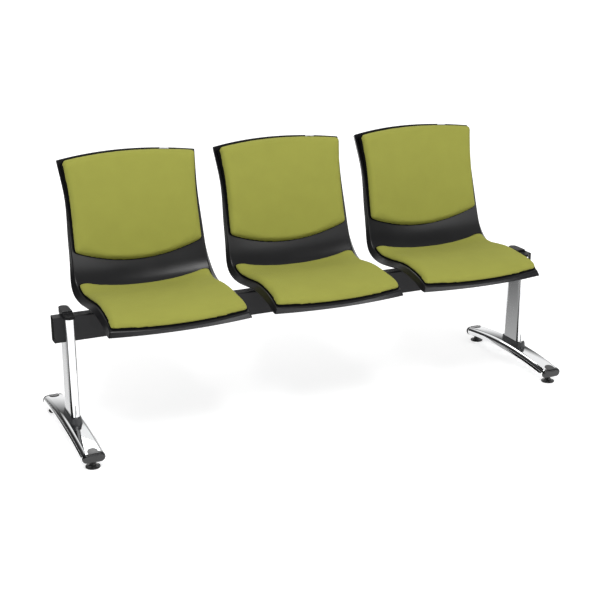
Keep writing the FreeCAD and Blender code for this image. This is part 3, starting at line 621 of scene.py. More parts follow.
def lip_y(x, z, setback=0.0):
    """Front face of the lip: bowed in plan, and leaning out towards its foot."""
    lean = LIP_RAKE * (LIP_TOP - z) / (LIP_TOP - LIP_BOTTOM)
    bow = LIP_BOW * (1 - (x / (LIP_HALF_WIDTH + LIP_FLARE)) ** 2)
    return -LIP_FRONT + setback - bow - lean


def before_lip(setback):
    return lambda p: lip_y(p.x, p.z, setback) - p.y


def above_arch(drop):
    corner = Vector((0, BACK_TOP_REAR + 3, BACK_TOP)) - BACK_UP * drop

    def limit(p):
        return (p - corner).dot(BACK_UP) - BACK_ARCH * (1 - (p.x / TOP_HALF_WIDTH) ** 2)
    return limit


def above_smile(p):
    low_y = BACK_TOP_REAR - BACK_UP.y / BACK_UP.z * (BACK_TOP - BACK_PAD_CORNER_HEIGHT)
    low = Vector((0, low_y, BACK_PAD_CORNER_HEIGHT))
    return (p - low).dot(BACK_UP) + BACK_PAD_SMILE * (1 - (p.x / TOP_HALF_WIDTH) ** 2)


def before_rear(p):
    bow = SEAT_PAD_REAR_BOW * (1 - (p.x / SEAT_HALF_WIDTH) ** 2)
    return SEAT_PAD_REAR - bow - p.y


class Patch:
    """Part of the sitting face between two limits, with its own across and along."""

    def __init__(self, border, first, last, corners=(0.0, 0.0), stand_off=0.0):
        self.border = border
        self.stand_off = stand_off
        self.corners = corners
        self.shares = np.linspace(-1, 1, 41)
        self.first = np.array([FACE.meeting(s, *first, border=border) for s in self.shares])
        self.last = np.array([FACE.meeting(s, *last, border=border) for s in self.shares])
        self.length = float(np.mean(self.last - self.first))
        self.width = float(FACE.half((self.first[0] + self.last[0]) / 2) - border)

    def rounded(self, across, along, inset=0.0):
        """Across from -1 to 1 and along from 0 to 1, drawn in at the corners.

        The outline lies inset further in. The third result is how far a place is from it.
        """
        x = across * (self.width - inset)
        s = (along - 0.5) * (self.length - 2 * inset)
        corner = max(self.corners[int(s > 0)] - inset, 0.1)
        reach_x, reach_s = self.width - inset, self.length / 2 - inset
        over_x = abs(x) - (reach_x - corner)
        over_s = abs(s) - (reach_s - corner)
        edge = min(reach_x - abs(x), reach_s - abs(s))
        if over_x > 0 and over_s > 0:
            share = max(over_x, over_s) / math.hypot(over_x, over_s)
            x = math.copysign(reach_x - corner + over_x * share, x)
            s = math.copysign(reach_s - corner + over_s * share, s)
        return x / self.width, s / self.length + 0.5, edge

    def place(self, across, along):
        """Place along the face and X, for across and along."""
        first = float(np.interp(across, self.shares, self.first))
        last = float(np.interp(across, self.shares, self.last))
        u = first + (last - first) * along
        return u, across * (FACE.half(u) - self.border)


# Seat shells

def rim_point(u, share, end):
    """Edge of the turned rim, for a place on the border of the face."""
    depth, flare = FACE.values(u)[4:6]
    spread = Vector((share * flare, 0, 0))
    face = FACE.point(u, share * FACE.half(u))
    if end == "top":
        return face - BACK_FACING * depth + spread
    if end == "lip":
        p = face + spread
        p.z = LIP_BOTTOM
        p.y = lip_y(p.x, p.z)
        return p
    p = face - FACE.facing(u) * depth + spread
    p.z = max(p.z, LIP_BOTTOM)
    p.y = max(p.y, lip_y(p.x, p.z))
    return p


def shell_mesh():
    """The sheet and its turned rim, still without thickness."""
    patch = Patch(0.0, (before_lip(0), FACE.start, CREST_PLACE),
                  (above_arch(0), WAIST_PLACE, FACE.end))
    bm = bmesh.new()
    grid = bmesh.ops.create_grid(bm, x_segments=SHELL_COLUMNS, y_segments=SHELL_ROWS, size=0.5)
    info = {}
    for vert in grid["verts"]:
        across, along = 2 * vert.co.x, vert.co.y + 0.5
        u, x = patch.place(across, along)
        vert.co = FACE.point(u, x)
        end = "lip" if along < 1e-6 else "top" if along > 1 - 1e-6 else "side"
        info[tuple(vert.co)] = (u, across, end)
    border = [e for e in bm.edges if e.is_boundary]
    verts, rim = pull(bm, border)
    for vert in verts:
        vert.co = rim_point(*info[tuple(vert.co)])
    corners = {v for e in border for v in e.verts
               if abs(abs(info[tuple(v.co)][1]) - 1) < 1e-6 and info[tuple(v.co)][2] != "side"}
    fold = set(border) | {e for v in corners for e in v.link_edges if len(e.link_faces) == 2}
    bmesh.ops.recalc_face_normals(bm, faces=bm.faces)
    waist = FACE.point(WAIST_PLACE, 0)
    middle = min(bm.faces, key=lambda f: (f.calc_center_median() - waist).length)
    if middle.normal.dot(FACE.facing(WAIST_PLACE)) < 0:
        bmesh.ops.reverse_faces(bm, faces=bm.faces)
    bmesh.ops.bevel(bm, geom=list(fold), offset=SHELL_FOLD, offset_type="OFFSET", segments=4,
                    profile=0.5, affect="EDGES", material=KEEP_MATERIAL, clamp_overlap=True)
    return bm


def rail_mesh(side):
    """A rail moulded under the seat, from the sheet down to the bracket."""
    bm = bmesh.new()
    grid = bmesh.ops.create_grid(bm, x_segments=2, y_segments=14, size=0.5)
    bracket_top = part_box("seat_bracket_1")[1].z / MM
    for vert in grid["verts"]:
        x = side * RAIL_SPACING / 2 + vert.co.x * RAIL_WIDTH
        y = vert.co.y * RAIL_LENGTH
        u = FACE.meeting(x / SEAT_HALF_WIDTH, lambda p: y - p.y, LIP_PLACE,
                         HIP_PLACE + RAIL_REACH)
        vert.co = FACE.point(u, x, -RAIL_SUNK)
        vert.co.y = y
    verts, low = pull(bm, [e for e in bm.edges if e.is_boundary])
    for vert in verts:
        vert.co.z = bracket_top
    bmesh.ops.contextual_create(bm, geom=low)
    outward(bm)
    return bm


# Pads

def back_patch():
    """The back pad is bent less than the shell, so it stands off at the top."""
    return Patch(BACK_PAD_BORDER, (above_smile, BEND_PLACE, TOP_PLACE),
                 (above_arch(BACK_PAD_TOP_BORDER), WAIST_PLACE, FACE.end), BACK_PAD_CORNERS,
                 BACK_PAD_STAND_OFF)


def seat_patch():
    return Patch(SEAT_PAD_BORDER, (before_lip(SEAT_PAD_SETBACK), FACE.start, CREST_PLACE),
                 (before_rear, CREST_PLACE, WAIST_PLACE), SEAT_PAD_CORNERS)


def patch_grid(bm, patch, inset, lift):
    """A grid over a patch, raised by lift(distance from the outline, stand-off there)."""
    columns, rows = int(patch.width / PAD_GRID), int(patch.length / (2 * PAD_GRID))
    grid = bmesh.ops.create_grid(bm, x_segments=2 * columns, y_segments=2 * rows, size=0.5)
    for vert in grid["verts"]:
        across, along, edge = patch.rounded(2 * vert.co.x, vert.co.y + 0.5, inset)
        u, x = patch.place(across, along)
        rise = patch.stand_off * min(max(along, 0.0), 1.0) ** 1.5
        vert.co = FACE.point(u, x, lift(edge, rise))


def slab_mesh(patch, inset, low, high):
    """A closed slab over a patch, between the two heights that low and high give."""
    bm = bmesh.new()
    patch_grid(bm, patch, inset, high)
    patch_grid(bm, patch, inset, low)
    bmesh.ops.bridge_loops(bm, edges=[e for e in bm.edges if e.is_boundary])
    outward(bm)
    return bm


def board_mesh(patch):
    """The board under a pad, which shows as a dark line round it: painted shade of the gap under
    the pad's edge.
    """
    return slab_mesh(patch, 0.0, lambda edge, rise: BOARD_LIFT,
                     lambda edge, rise: BOARD_LIFT + BOARD_THICKNESS + rise)


def pad_mesh(patch, thickness, crown, roll):
    """A closed pad on its board: crowned on top, its edge rolled over all round."""
    base = BOARD_LIFT + 0.3 * BOARD_THICKNESS

    def top(edge, rise):
        turn = min(max(edge, 0.0) / roll, 1.0)
        swell = min(max(edge, 0.0) / (0.8 * patch.width), 1.0)
        share = EDGE_SHARE + (1 - EDGE_SHARE) * math.sqrt(1 - (1 - turn) ** 2)
        return rise + base + (thickness - base) * share + crown * math.sin(swell * math.pi / 2)

    return slab_mesh(patch, BOARD_SHOWS, lambda edge, rise: base + rise, top)


def board_tree(patch):
    """The board's underside, to measure heights from."""
    bm = bmesh.new()
    patch_grid(bm, patch, -BOARD_SPARE, lambda edge, rise: rise)
    tree = BVHTree.FromBMesh(bm)
    bm.free()
    return tree


def mesh_of(made):
    """The mesh of an object with its modifiers, as it is in this frame."""
    graph = bpy.context.evaluated_depsgraph_get()
    return bpy.data.meshes.new_from_object(made.evaluated_get(graph), depsgraph=graph)


def stuffed(bm, tree, thickness):
    """Fabric drawn over foam: the pad's skin, swollen in a cloth simulation.

    The skin is remeshed evenly and swells under pressure. No place of it moves further
    than the cap, which falls to nothing at the board. It comes and goes in millimetres.
    """
    mesh = bpy.data.meshes.new("skin")
    bm.to_mesh(mesh)
    bm.free()
    mesh.transform(Matrix.Scale(MM, 4))
    skin = bpy.data.objects.new("skin", mesh)
    scene = bpy.context.scene
    scene.collection.objects.link(skin)
    even = skin.modifiers.new("even", "REMESH")
    even.mode = "VOXEL"
    even.voxel_size = PAD_VOXEL * MM
    even.use_smooth_shade = True
    skin.data = mesh_of(skin)
    skin.modifiers.clear()
    places = still = [v.co.copy() for v in skin.data.vertices]
    cloth = skin.modifiers.new("cloth", "CLOTH")
    cloth.settings.quality = 4
    cloth.settings.use_pressure = True
    cloth.settings.uniform_pressure_force = PAD_PRESSURE
    cloth.settings.effector_weights.gravity = 0
    cloth.point_cache.frame_start = 1
    cloth.point_cache.frame_end = PAD_FRAMES
    for step in range(1, PAD_FRAMES + 1):
        scene.frame_set(step)
    moved = mesh_of(skin)
    places = [v.co.copy() for v in moved.vertices]
    bpy.data.meshes.remove(moved)
    skin.modifiers.clear()
    scene.frame_set(1)
    out = bmesh.new()
    out.from_mesh(skin.data)
    for vert, before, after in zip(out.verts, still, places):
        distance = tree.find_nearest(before / MM)[3]
        height = min(max((distance - BOARD_THICKNESS - 1.0) / (0.6 * thickness), 0.0), 1.0)
        move = (after - before) / MM
        cap = PAD_SWELL * height
        if move.length > cap:
            move = move * (cap / move.length)
        pucker = fractal(before / (PUCKER_SPACING * MM), 1.0, 2.0, 3) * PUCKER * height
        vert.co = before / MM + move + vert.normal * pucker
    bpy.data.objects.remove(skin)
    for _ in range(PAD_SMOOTHINGS):
        bmesh.ops.smooth_vert(out, verts=out.verts, factor=0.5, use_axis_x=True,
                              use_axis_y=True, use_axis_z=True)
    return out


# Feet, hoods and collars

def foot_radius():
    return ((FOOT_LENGTH / 2) ** 2 + FOOT_RISE ** 2) / (2 * FOOT_RISE)


def foot_tube_angle():
    return math.asin((FOOT_LENGTH / 2 - FOOT_CAP_THICKNESS) / foot_radius())


def foot_frame(angle):
    """Across the foot's tube at an angle along its arch; positive angles lie in front.

    An outline in the XY plane, long way along Y, comes to lie with its long way along X.
    """
    radius = foot_radius()
    centre = Matrix.Translation((0, FOOT_REARWARD, FOOT_MIDDLE_HEIGHT - radius))
    stand = Matrix.Rotation(math.pi / 2, 4, "X") @ Matrix.Rotation(math.pi / 2, 4, "Z")
    return (centre @ Matrix.Rotation(angle, 4, "X")
            @ Matrix.Translation((0, 0, radius)) @ stand)


def foot_cap_mesh():
    bm = oval_block(FOOT_THICKNESS + FOOT_CAP_PROUD, FOOT_WIDTH + FOOT_CAP_PROUD,
                    FOOT_CAP_THICKNESS, 48)
    outward(bm)
    rim = [e for e in bm.edges if all(v.co.z > FOOT_CAP_THICKNESS - 0.1 for v in e.verts)]
    bmesh.ops.bevel(bm, geom=rim, offset=FOOT_CAP_ROUNDING, offset_type="OFFSET", segments=6,
                    profile=0.5, affect="EDGES", material=KEEP_MATERIAL, clamp_overlap=True)
    return bm


def tongue_mesh():
    """The cap's tongue, laid on the top of the tube."""
    bm = oval_block(2 * TONGUE_RADIUS, 2 * TONGUE_LENGTH, TONGUE_THICKNESS, 40)
    cut(bm, (0, -FOOT_CAP_THICKNESS / 2, 0), (0, -1, 0), take_off=True)
    outward(bm)
    lay = (Matrix.Rotation(-math.pi / 2, 4, "Z") @ Matrix.Rotation(-math.pi / 2, 4, "X")
           @ Matrix.Translation((0, 0, FOOT_THICKNESS / 2 - TONGUE_SUNK)))
    bmesh.ops.transform(bm, matrix=lay, verts=bm.verts)
    return bm


def hood_mesh():
    """Flat over the beam and stepped down to a nose in front."""
    length = UPRIGHT_DEPTH + 2 * HOOD_OVERHANG
    bm = oval_block(UPRIGHT_THICKNESS + 2 * HOOD_OVERHANG, length, 1)
    for k in range(1, HOOD_CUTS):
        cut(bm, (0, -length / 2 + length * k / HOOD_CUTS, 0), (0, 1, 0))
    for vert in bm.verts:
        if vert.co.z > 0.5:
            ahead = vert.co.y + length / 2
            fall = min(max((HOOD_NOSE_LENGTH + HOOD_STEP - ahead) / HOOD_STEP, 0.0), 1.0)
            vert.co.z = HOOD_RISE - HOOD_NOSE_DROP * fall ** 2 * (3 - 2 * fall)
        else:
            vert.co.z = HOOD_LIFT
    outward(bm)
    return bm


def hood_skirt_mesh():
    """The thicker foot of the hood's nose."""
    proud = 2 * HOOD_OVERHANG + 2 * HOOD_SKIRT_PROUD
    width, length = UPRIGHT_THICKNESS + proud, UPRIGHT_DEPTH + proud
    bm = oval_block(width, length, HOOD_SKIRT_HEIGHT)
    cut(bm, (0, -length / 2 + HOOD_SKIRT_SHARE * width, 0), (0, 1, 0), take_off=True)
    outward(bm)
    return bm


def collar_mesh():
    """A skirt that leans in to the upright, stands on the foot and is closed on top."""
    bm = bmesh.new()
    rise = FOOT_THICKNESS / 2 + COLLAR_HEIGHT
    wide, long = COLLAR_BASE_WIDTH, COLLAR_BASE_LENGTH
    narrow, lean = COLLAR_TOP_WIDTH, COLLAR_BASE_WIDTH - COLLAR_TOP_WIDTH
    short = long - lean
    inner, depth = UPRIGHT_THICKNESS + COLLAR_GAP, UPRIGHT_DEPTH + COLLAR_GAP
    # Width, length and height of each ring, from the foot up and down inside
    rows = ((wide, long, COLLAR_FOOT), (wide, long, FOOT_THICKNESS / 2),
            (wide - COLLAR_LEAN_SHARE * lean, long - COLLAR_LEAN_SHARE * lean, rise * 0.6),
            (narrow + 0.4, short + 0.4, rise - 0.8), (narrow, short, rise),
            (inner, depth, rise), (inner, depth, rise - 8))
    ring = oval_outline(bm, wide, long, UPRIGHT_SIDES)
    bmesh.ops.translate(bm, vec=(0, 0, COLLAR_FOOT), verts=bm.verts)
    for (width, length, _), (next_width, next_length, height) in zip(rows, rows[1:]):
        verts, ring = pull(bm, ring)
        for vert in verts:
            side = math.copysign(1.0, vert.co.y)
            around = Vector((vert.co.x, vert.co.y - side * (length - width) / 2))
            around *= next_width / width
            straight = side * (next_length - next_width) / 2
            vert.co = Vector((around.x, around.y + straight, height))
    outward(bm)
    return bm


# Glides, plugs and fasteners

def glide_mesh():
    """A bell on a stem, turned about Z."""
    bm = bmesh.new()
    radius, stem, top, stem_top = GLIDE_DIAMETER / 2, 5.0, 13.0, 41.4
    bell = ((0, 0), (radius - 1.6, 0), (radius - 0.4, 0.5), (radius, 1.6), (radius, 3.2),
            (radius - 0.5, 4.2), (radius - 3, 5.0), (radius - 7, 6.0), (radius - 10.5, 7.8),
            (radius - 12.2, 10.4), (radius - 12.5, 12.4), (radius - 13.1, top), (stem, top),
            (stem, stem_top), (0, stem_top))
    verts = [bm.verts.new((r, 0, z)) for r, z in bell]
    edges = [bm.edges.new(pair) for pair in zip(verts, verts[1:])]
    bmesh.ops.spin(bm, geom=verts + edges, cent=(0, 0, 0), axis=(0, 0, 1),
                   angle=2 * math.pi, steps=56, use_merge=True)
    outward(bm)
    return bm


def plug_mesh(low, high, way):
    """A plug in the beam's end, in metres: a deep tray, open outwards."""
    bm = bmesh.new()
    bmesh.ops.create_cube(bm, size=1.0)
    bmesh.ops.scale(bm, vec=high - low, verts=bm.verts)
    face = max(bm.faces, key=lambda f: f.calc_center_median().x * way)
    bmesh.ops.inset_individual(bm, faces=[face], thickness=PLUG_WALL * MM,
                               use_even_offset=True)
    sunk = bmesh.ops.extrude_discrete_faces(bm, faces=[face])["faces"][0]
    bmesh.ops.translate(bm, vec=(-way * PLUG_SUNK * MM, 0, 0), verts=sunk.verts)
    bmesh.ops.scale(bm, vec=(1, 0.94, 0.97), verts=sunk.verts)
    bmesh.ops.translate(bm, vec=(low + high) / 2, verts=bm.verts)
    outward(bm)
    return bm


def add_bolt(bm, across, height, place, facing, sides=6):
    """A bolt head on its washer; facing is 1 for up and -1 for down."""
    for radius, count, low, high in ((0.72 * across, 32, 0.0, WASHER),
                                     (across / math.sqrt(3), sides, WASHER, WASHER + height)):
        made = bmesh.ops.create_cone(bm, cap_ends=True, segments=count, radius1=radius,
                                     radius2=radius, depth=high - low)
        rim = {e for v in made["verts"] for e in v.link_edges
               if all(w.co.z > 0 for w in e.verts)}
        bevelled = bmesh.ops.bevel(bm, geom=list(rim),
                                   offset=min(0.12 * across, 0.4 * (high - low)),
                                   offset_type="OFFSET", segments=1, profile=0.5,
                                   affect="EDGES", material=KEEP_MATERIAL, clamp_overlap=True)
        whole = {v for v in made["verts"] if v.is_valid} | set(bevelled["verts"])
        lay = (Matrix.Translation(place)
               @ Matrix.Rotation(0 if facing > 0 else math.pi, 4, "X")
               @ Matrix.Translation((0, 0, (low + high) / 2)))
        bmesh.ops.transform(bm, matrix=lay, verts=list(whole))


def tag_mesh(width):
    """A strip from the front of the top rail over its edge and down behind."""
    bm = bmesh.new()
    grid = bmesh.ops.create_grid(bm, x_segments=12, y_segments=8, size=0.5)
    for vert in grid["verts"]:
        x = TAG_PLACE + vert.co.x * width
        top = FACE.meeting(x / TOP_HALF_WIDTH, above_arch(0), WAIST_PLACE, FACE.end)
        t = (vert.co.y + 0.5) * TAG_LENGTH - TAG_FRONT
        if t < 0:
            vert.co = FACE.point(top + t, x, TAG_LIFT)
        else:
            vert.co = FACE.point(top, x, TAG_LIFT) + BACK_UP * TAG_LIFT - BACK_FACING * t
    outward(bm)
    return bm


# Settings a user would change

def colour_setting(name, description, default):
    return FloatVectorProperty(name=name, description=description, subtype="COLOR", size=4,
                               min=0, max=1, default=linear(default))


class BenchColours(bpy.types.PropertyGroup):
    fabric: colour_setting("Fabric", "Colour of the upholstery", "#9c9d48")
    shell: colour_setting("Shells", "Colour of the seat mouldings", "#161618")
    beam: colour_setting("Beam", "Colour of the beam's and brackets' powder coat", "#1b1b1d")
    trim: colour_setting("Trim", "Colour of the hoods and foot caps", "#0d0d0f")
    collar: colour_setting("Collars", "Colour of the skirts on the feet", "#2e2f32")


class BenchSizes(bpy.types.PropertyGroup):
    pad_roll: FloatProperty(
        name="Pad roll", description="How far a pad's edge is rolled over",
        unit="LENGTH", min=0.005, max=0.04, default=0.010)
    tag_width: FloatProperty(
        name="Tag width", description="Width of the blank tag on each top rail",
        unit="LENGTH", min=0.01, max=0.06, default=0.03)


class Stage(bpy.types.PropertyGroup):
    camera_lens: FloatProperty(
        name="Lens", description="Focal length of the camera on a 36 mm sensor",
        unit="CAMERA", min=20, max=200, default=72.91)
    floor_sides: IntProperty(
        name="Floor sides", description="Number of sides of the round floor",
        min=16, max=256, default=96)
    room_light: FloatProperty(
        name="Room light", description="Strength of the even light from all round",
        min=0, max=2, default=0.5)
    key_power: FloatProperty(
        name="Key", description="Power of the large lamp in front", unit="POWER",
        min=0, max=500, default=112)
    low_power: FloatProperty(
        name="Low lamp", description="Power of the low lamp that lights the lips",
        unit="POWER", min=0, max=500, default=25)
    rear_power: FloatProperty(
        name="Rear lamp", description="Power of the lamp that gives the backs their shape",
        unit="POWER", min=0, max=500, default=45)


# Operators

class BENCH_OT_shells(bpy.types.Operator):
    """Moulded seat shells with their turned rims and rails"""
    bl_idname = "bench.shells"
    bl_label = "Seat shells"

    def execute(self, context):
        for number in SEATS:
            node = "seat_shell_%d" % number
            shell = piece("shell_%d" % number, shell_mesh(), "shell", "bench",
                          [node], at=beside(node))
            give_wall(shell, SHELL_WALL, even=True)
            soften(shell, 0.8)
            for side, sign in zip(SIDES, (-1, 1)):
                rail = piece("shell_rail_%s_%d" % (side, number), rail_mesh(sign), "shell",
                             "bench", at=beside(node))
                soften(rail, 1.0, 2, 40)
        return {"FINISHED"}


class BENCH_OT_pads(bpy.types.Operator):
    """Upholstered pads on the seats and backs, each on a dark board that paints the shade round it
    """
    bl_idname = "bench.pads"
    bl_label = "Pads"

    def execute(self, context):
        roll = context.scene.bench_sizes.pad_roll / MM
        kinds = (
            ("back", back_patch(), BACK_PAD_THICKNESS, BACK_PAD_CROWN),
            ("seat", seat_patch(), SEAT_PAD_THICKNESS, SEAT_PAD_CROWN),
        )
        for kind, patch, thickness, crown in kinds:
            skin = bpy.data.meshes.new(kind + "_skin")
            filled = stuffed(pad_mesh(patch, thickness, crown, roll), board_tree(patch),
                             thickness)
            filled.to_mesh(skin)
            filled.free()
            for number in SEATS:
                at = beside("seat_shell_%d" % number)
                bm = bmesh.new()
                bm.from_mesh(skin)
                pad = piece("%s_upholstery_%d" % (kind, number), bm, "fabric", "bench",
                            ["%s_pad_%d" % (kind, number)], at=at)
                fine = pad.modifiers.new("smooth", "SUBSURF")
                fine.levels = fine.render_levels = 1
                piece("%s_board_%d" % (kind, number), board_mesh(patch), "board", "bench",
                      at=at)
        return {"FINISHED"}


class BENCH_OT_feet(bpy.types.Operator):
    """Arched feet, polished and plated"""
    bl_idname = "bench.feet"
    bl_label = "Feet"

    def execute(self, context):
        angle = foot_tube_angle()
        start = foot_frame(angle)
        steps = [foot_frame(angle - 2 * angle * k / FOOT_STEPS) @ start.inverted()
                 for k in range(1, FOOT_STEPS + 1)]
        for side in SIDES:
            bm = bmesh.new()
            ring = oval_outline(bm, FOOT_THICKNESS, FOOT_WIDTH, 48)
            bmesh.ops.transform(bm, matrix=start, verts=bm.verts)
            sweep(bm, ring, steps)
            outward(bm)
            node = "foot_" + side
            foot = piece("foot_tube_" + side, bm, "chrome", "bench",
                         [node], at=beside(node))
            give_wall(foot, FOOT_WALL)
        return {"FINISHED"}


class BENCH_OT_foot_caps(bpy.types.Operator):
    """Moulded caps with a tongue, on both ends of each foot"""
    bl_idname = "bench.foot_caps"
    bl_label = "Foot caps"

    def execute(self, context):
        for side in SIDES:
            at = beside("foot_" + side)
            for end, turn in zip(ENDS, (0, math.pi)):
                lay = (Matrix.Translation((0, FOOT_REARWARD, 0))
                       @ Matrix.Rotation(turn, 4, "Z")
                       @ Matrix.Translation((0, -FOOT_REARWARD, 0))
                       @ foot_frame(foot_tube_angle()))
                cap, tongue = foot_cap_mesh(), tongue_mesh()
                for bm in (cap, tongue):
                    bmesh.ops.transform(bm, matrix=lay, verts=bm.verts)
                cap = piece("foot_cap_%s_%s" % (end, side), cap, "cap", "bench",
                            ["foot_caps_" + side], at=at)
                soften(cap, 0.6)
                tongue = piece("foot_tongue_%s_%s" % (end, side), tongue, "cap", "bench",
                               at=at)
                soften(tongue, 0.8)
        return {"FINISHED"}


class BENCH_OT_uprights(bpy.types.Operator):
    """Flat-sided oval uprights, slotted for the beam"""
    bl_idname = "bench.uprights"
    bl_label = "Uprights"

    def execute(self, context):
        slot = BEAM_HALF_DEPTH + SLOT_GAP
        for side in SIDES:
            bm = bmesh.new()
            ring = oval_outline(bm, UPRIGHT_THICKNESS, UPRIGHT_DEPTH, UPRIGHT_SIDES)
            sweep(bm, ring, [Matrix.Translation((0, 0, BEAM_TOP - UPRIGHT_FOOT))])
            outward(bm)
            bmesh.ops.translate(bm, vec=(0, -UPRIGHT_FORWARD, UPRIGHT_FOOT), verts=bm.verts)
            cut(bm, (0, 0, BEAM_BOTTOM), (0, 0, 1))
            cut(bm, (0, slot, 0), (0, 1, 0))
            cut(bm, (0, -slot, 0), (0, 1, 0))
            gone = [f for f in bm.faces if abs(f.calc_center_median().y) < slot
                    and f.calc_center_median().z > BEAM_BOTTOM]
            bmesh.ops.delete(bm, geom=gone, context="FACES")
            node = "leg_upright_" + side
            upright = piece("upright_tube_" + side, bm, "chrome", "bench",
                            [node], at=beside(node))
            give_wall(upright, UPRIGHT_WALL)
            soften(upright, 0.3)
        return {"FINISHED"}


class BENCH_OT_leg_trim(bpy.types.Operator):
    """Hoods over the beam and collars on the feet"""
    bl_idname = "bench.leg_trim"
    bl_label = "Hoods and collars"

    def execute(self, context):
        for side in SIDES:
            node = "leg_upright_" + side
            on_beam = beside(node, -UPRIGHT_FORWARD, BEAM_TOP)
            hood = piece("hood_" + side, hood_mesh(), "trim", "bench",
                         ["leg_hoods"], at=on_beam)
            soften(hood, 2.6, 4)
            skirt = piece("hood_skirt_" + side, hood_skirt_mesh(), "trim", "bench",
                          at=on_beam)
            soften(skirt, 1.0, 3)
            collar = piece("collar_" + side, collar_mesh(), "collar", "bench",
                           ["leg_collars"],
                           at=beside(node, -UPRIGHT_FORWARD, FOOT_MIDDLE_HEIGHT))
            soften(collar, 0.8, 3, 40)
        return {"FINISHED"}


class BENCH_OT_glides(bpy.types.Operator):
    """Levelling glides: a moulded bell on a threaded stem"""
    bl_idname = "bench.glides"
    bl_label = "Glides"

    def execute(self, context):
        for side in SIDES:
            for end in ENDS:
                node = "glide_%s_%s" % (end, side)
                low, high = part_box(node)
                y = ((low.y + high.y) / 2 - MIDDLE_Y) / MM
                glide = piece("glide_bell_%s_%s" % (end, side), glide_mesh(), "glide",
                              node + "_body", [node], at=beside(node, y))
                flatten_light(glide)
        return {"FINISHED"}


class BENCH_OT_beam(bpy.types.Operator):
    """Finishes of the beam, its plugs and the steel under the seats"""
    bl_idname = "bench.beam"
    bl_label = "Beam and brackets"

    def execute(self, context):
        for side, way in zip(SIDES, (-1, 1)):
            node = "beam_end_plug_" + side
            bm = plug_mesh(*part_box(node), way)
            made = piece("end_plug_" + side, bm, "plug", "bench", [node])
            soften(made, 0.5)
        groups = {"beam": "beam", "leg_base_plate": "bracket", "seat_bracket": "bracket"}
        for name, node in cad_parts.items():
            for start, finish in groups.items():
                if name.startswith(start):
                    node.data.materials.clear()
                    node.data.materials.append(finishes()[finish])
        return {"FINISHED"}


class BENCH_OT_tags(bpy.types.Operator):
    """Blank tags folded over the top rails"""
    bl_idname = "bench.tags"
    bl_label = "Tags"

    def execute(self, context):
        width = context.scene.bench_sizes.tag_width / MM
        for number in SEATS:
            tag = piece("tag_%d" % number, tag_mesh(width), "tag", "bench",
                        at=beside("seat_shell_%d" % number))
            wall = tag.modifiers.new("wall", "SOLIDIFY")
            wall.thickness = TAG_THICKNESS * MM
            wall.offset = 0
        return {"FINISHED"}


class BENCH_OT_fasteners(bpy.types.Operator):
    """Bolts through the clamps and screws up into the shells"""
    bl_idname = "bench.fasteners"
    bl_label = "Fasteners"

    def execute(self, context):
        for number in SEATS:
            plate_low, plate_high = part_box("seat_bracket_%d" % number)
            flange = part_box("beam_clamp_%d" % number)[1].z / MM - CLAMP_FLANGE
            bm = bmesh.new()
            for x in (-BOLT_SPACING / 2, BOLT_SPACING / 2):
                for y in (-BOLT_REACH, BOLT_REACH):
                    add_bolt(bm, BOLT_HEAD, BOLT_HEAD_HEIGHT, (x, y, flange), -1)
                    add_bolt(bm, BOLT_HEAD, NUT_HEIGHT, (x, y, plate_high.z / MM), 1)
            for x in (-RAIL_SPACING / 2, RAIL_SPACING / 2):
                for y in (-SCREW_REACH, SCREW_REACH):
                    add_bolt(bm, SCREW_HEAD, SCREW_HEAD_HEIGHT, (x, y, plate_low.z / MM), -1,
                             24)
            piece("bolts_%d" % number, bm, "zinc", "bench", smooth=False,
                  at=beside("seat_shell_%d" % number))
        return {"FINISHED"}


# Stage

def painted_floor():
    """White studio floor: matt paint that keeps the bench's soft shadow.

    It also glows to the camera and in mirrors, more with distance, so it meets white.
    """
    material, tree, place = new_material("painted_studio_floor")
    paint = linear("#f4f4f4")
    clouds = add_node(tree, "ShaderNodeTexNoise", {"Vector": place, "Scale": 1 / (900 * MM),
                                                   "Detail": 2.0})
    shades = add_node(tree, "ShaderNodeMix",
                      {0: clouds.outputs["Fac"], 6: shaded(paint, 0.99),
                       7: shaded(paint, 1.01)}, data_type="RGBA")
    matt = add_node(tree, "ShaderNodeBsdfDiffuse", {"Color": shades.outputs[2]})
    path = add_node(tree, "ShaderNodeLightPath")
    shown = path.outputs["Is Camera Ray"]
    for name in ("Is Glossy Ray", "Is Transmission Ray"):
        shown = add_node(tree, "ShaderNodeMath", {0: shown, 1: path.outputs[name]},
                         operation="MAXIMUM").outputs[0]
    away = add_node(tree, "ShaderNodeVectorMath", {0: place}, operation="LENGTH")
    glow = add_node(tree, "ShaderNodeMapRange",
                    {"Value": away.outputs["Value"], "From Min": 1.0, "From Max": 3.5,
                     "To Min": FLOOR_GLOW, "To Max": FAR_FLOOR_GLOW})
    level = add_node(tree, "ShaderNodeMath", {0: shown, 1: glow.outputs["Result"]},
                     operation="MULTIPLY")
    light = add_node(tree, "ShaderNodeEmission",
                     {"Color": (1, 1, 1, 1), "Strength": level.outputs[0]})
    both = add_node(tree, "ShaderNodeAddShader", {0: matt.outputs[0], 1: light.outputs[0]})
    add_node(tree, "ShaderNodeOutputMaterial", {"Surface": both.outputs[0]})
    return material


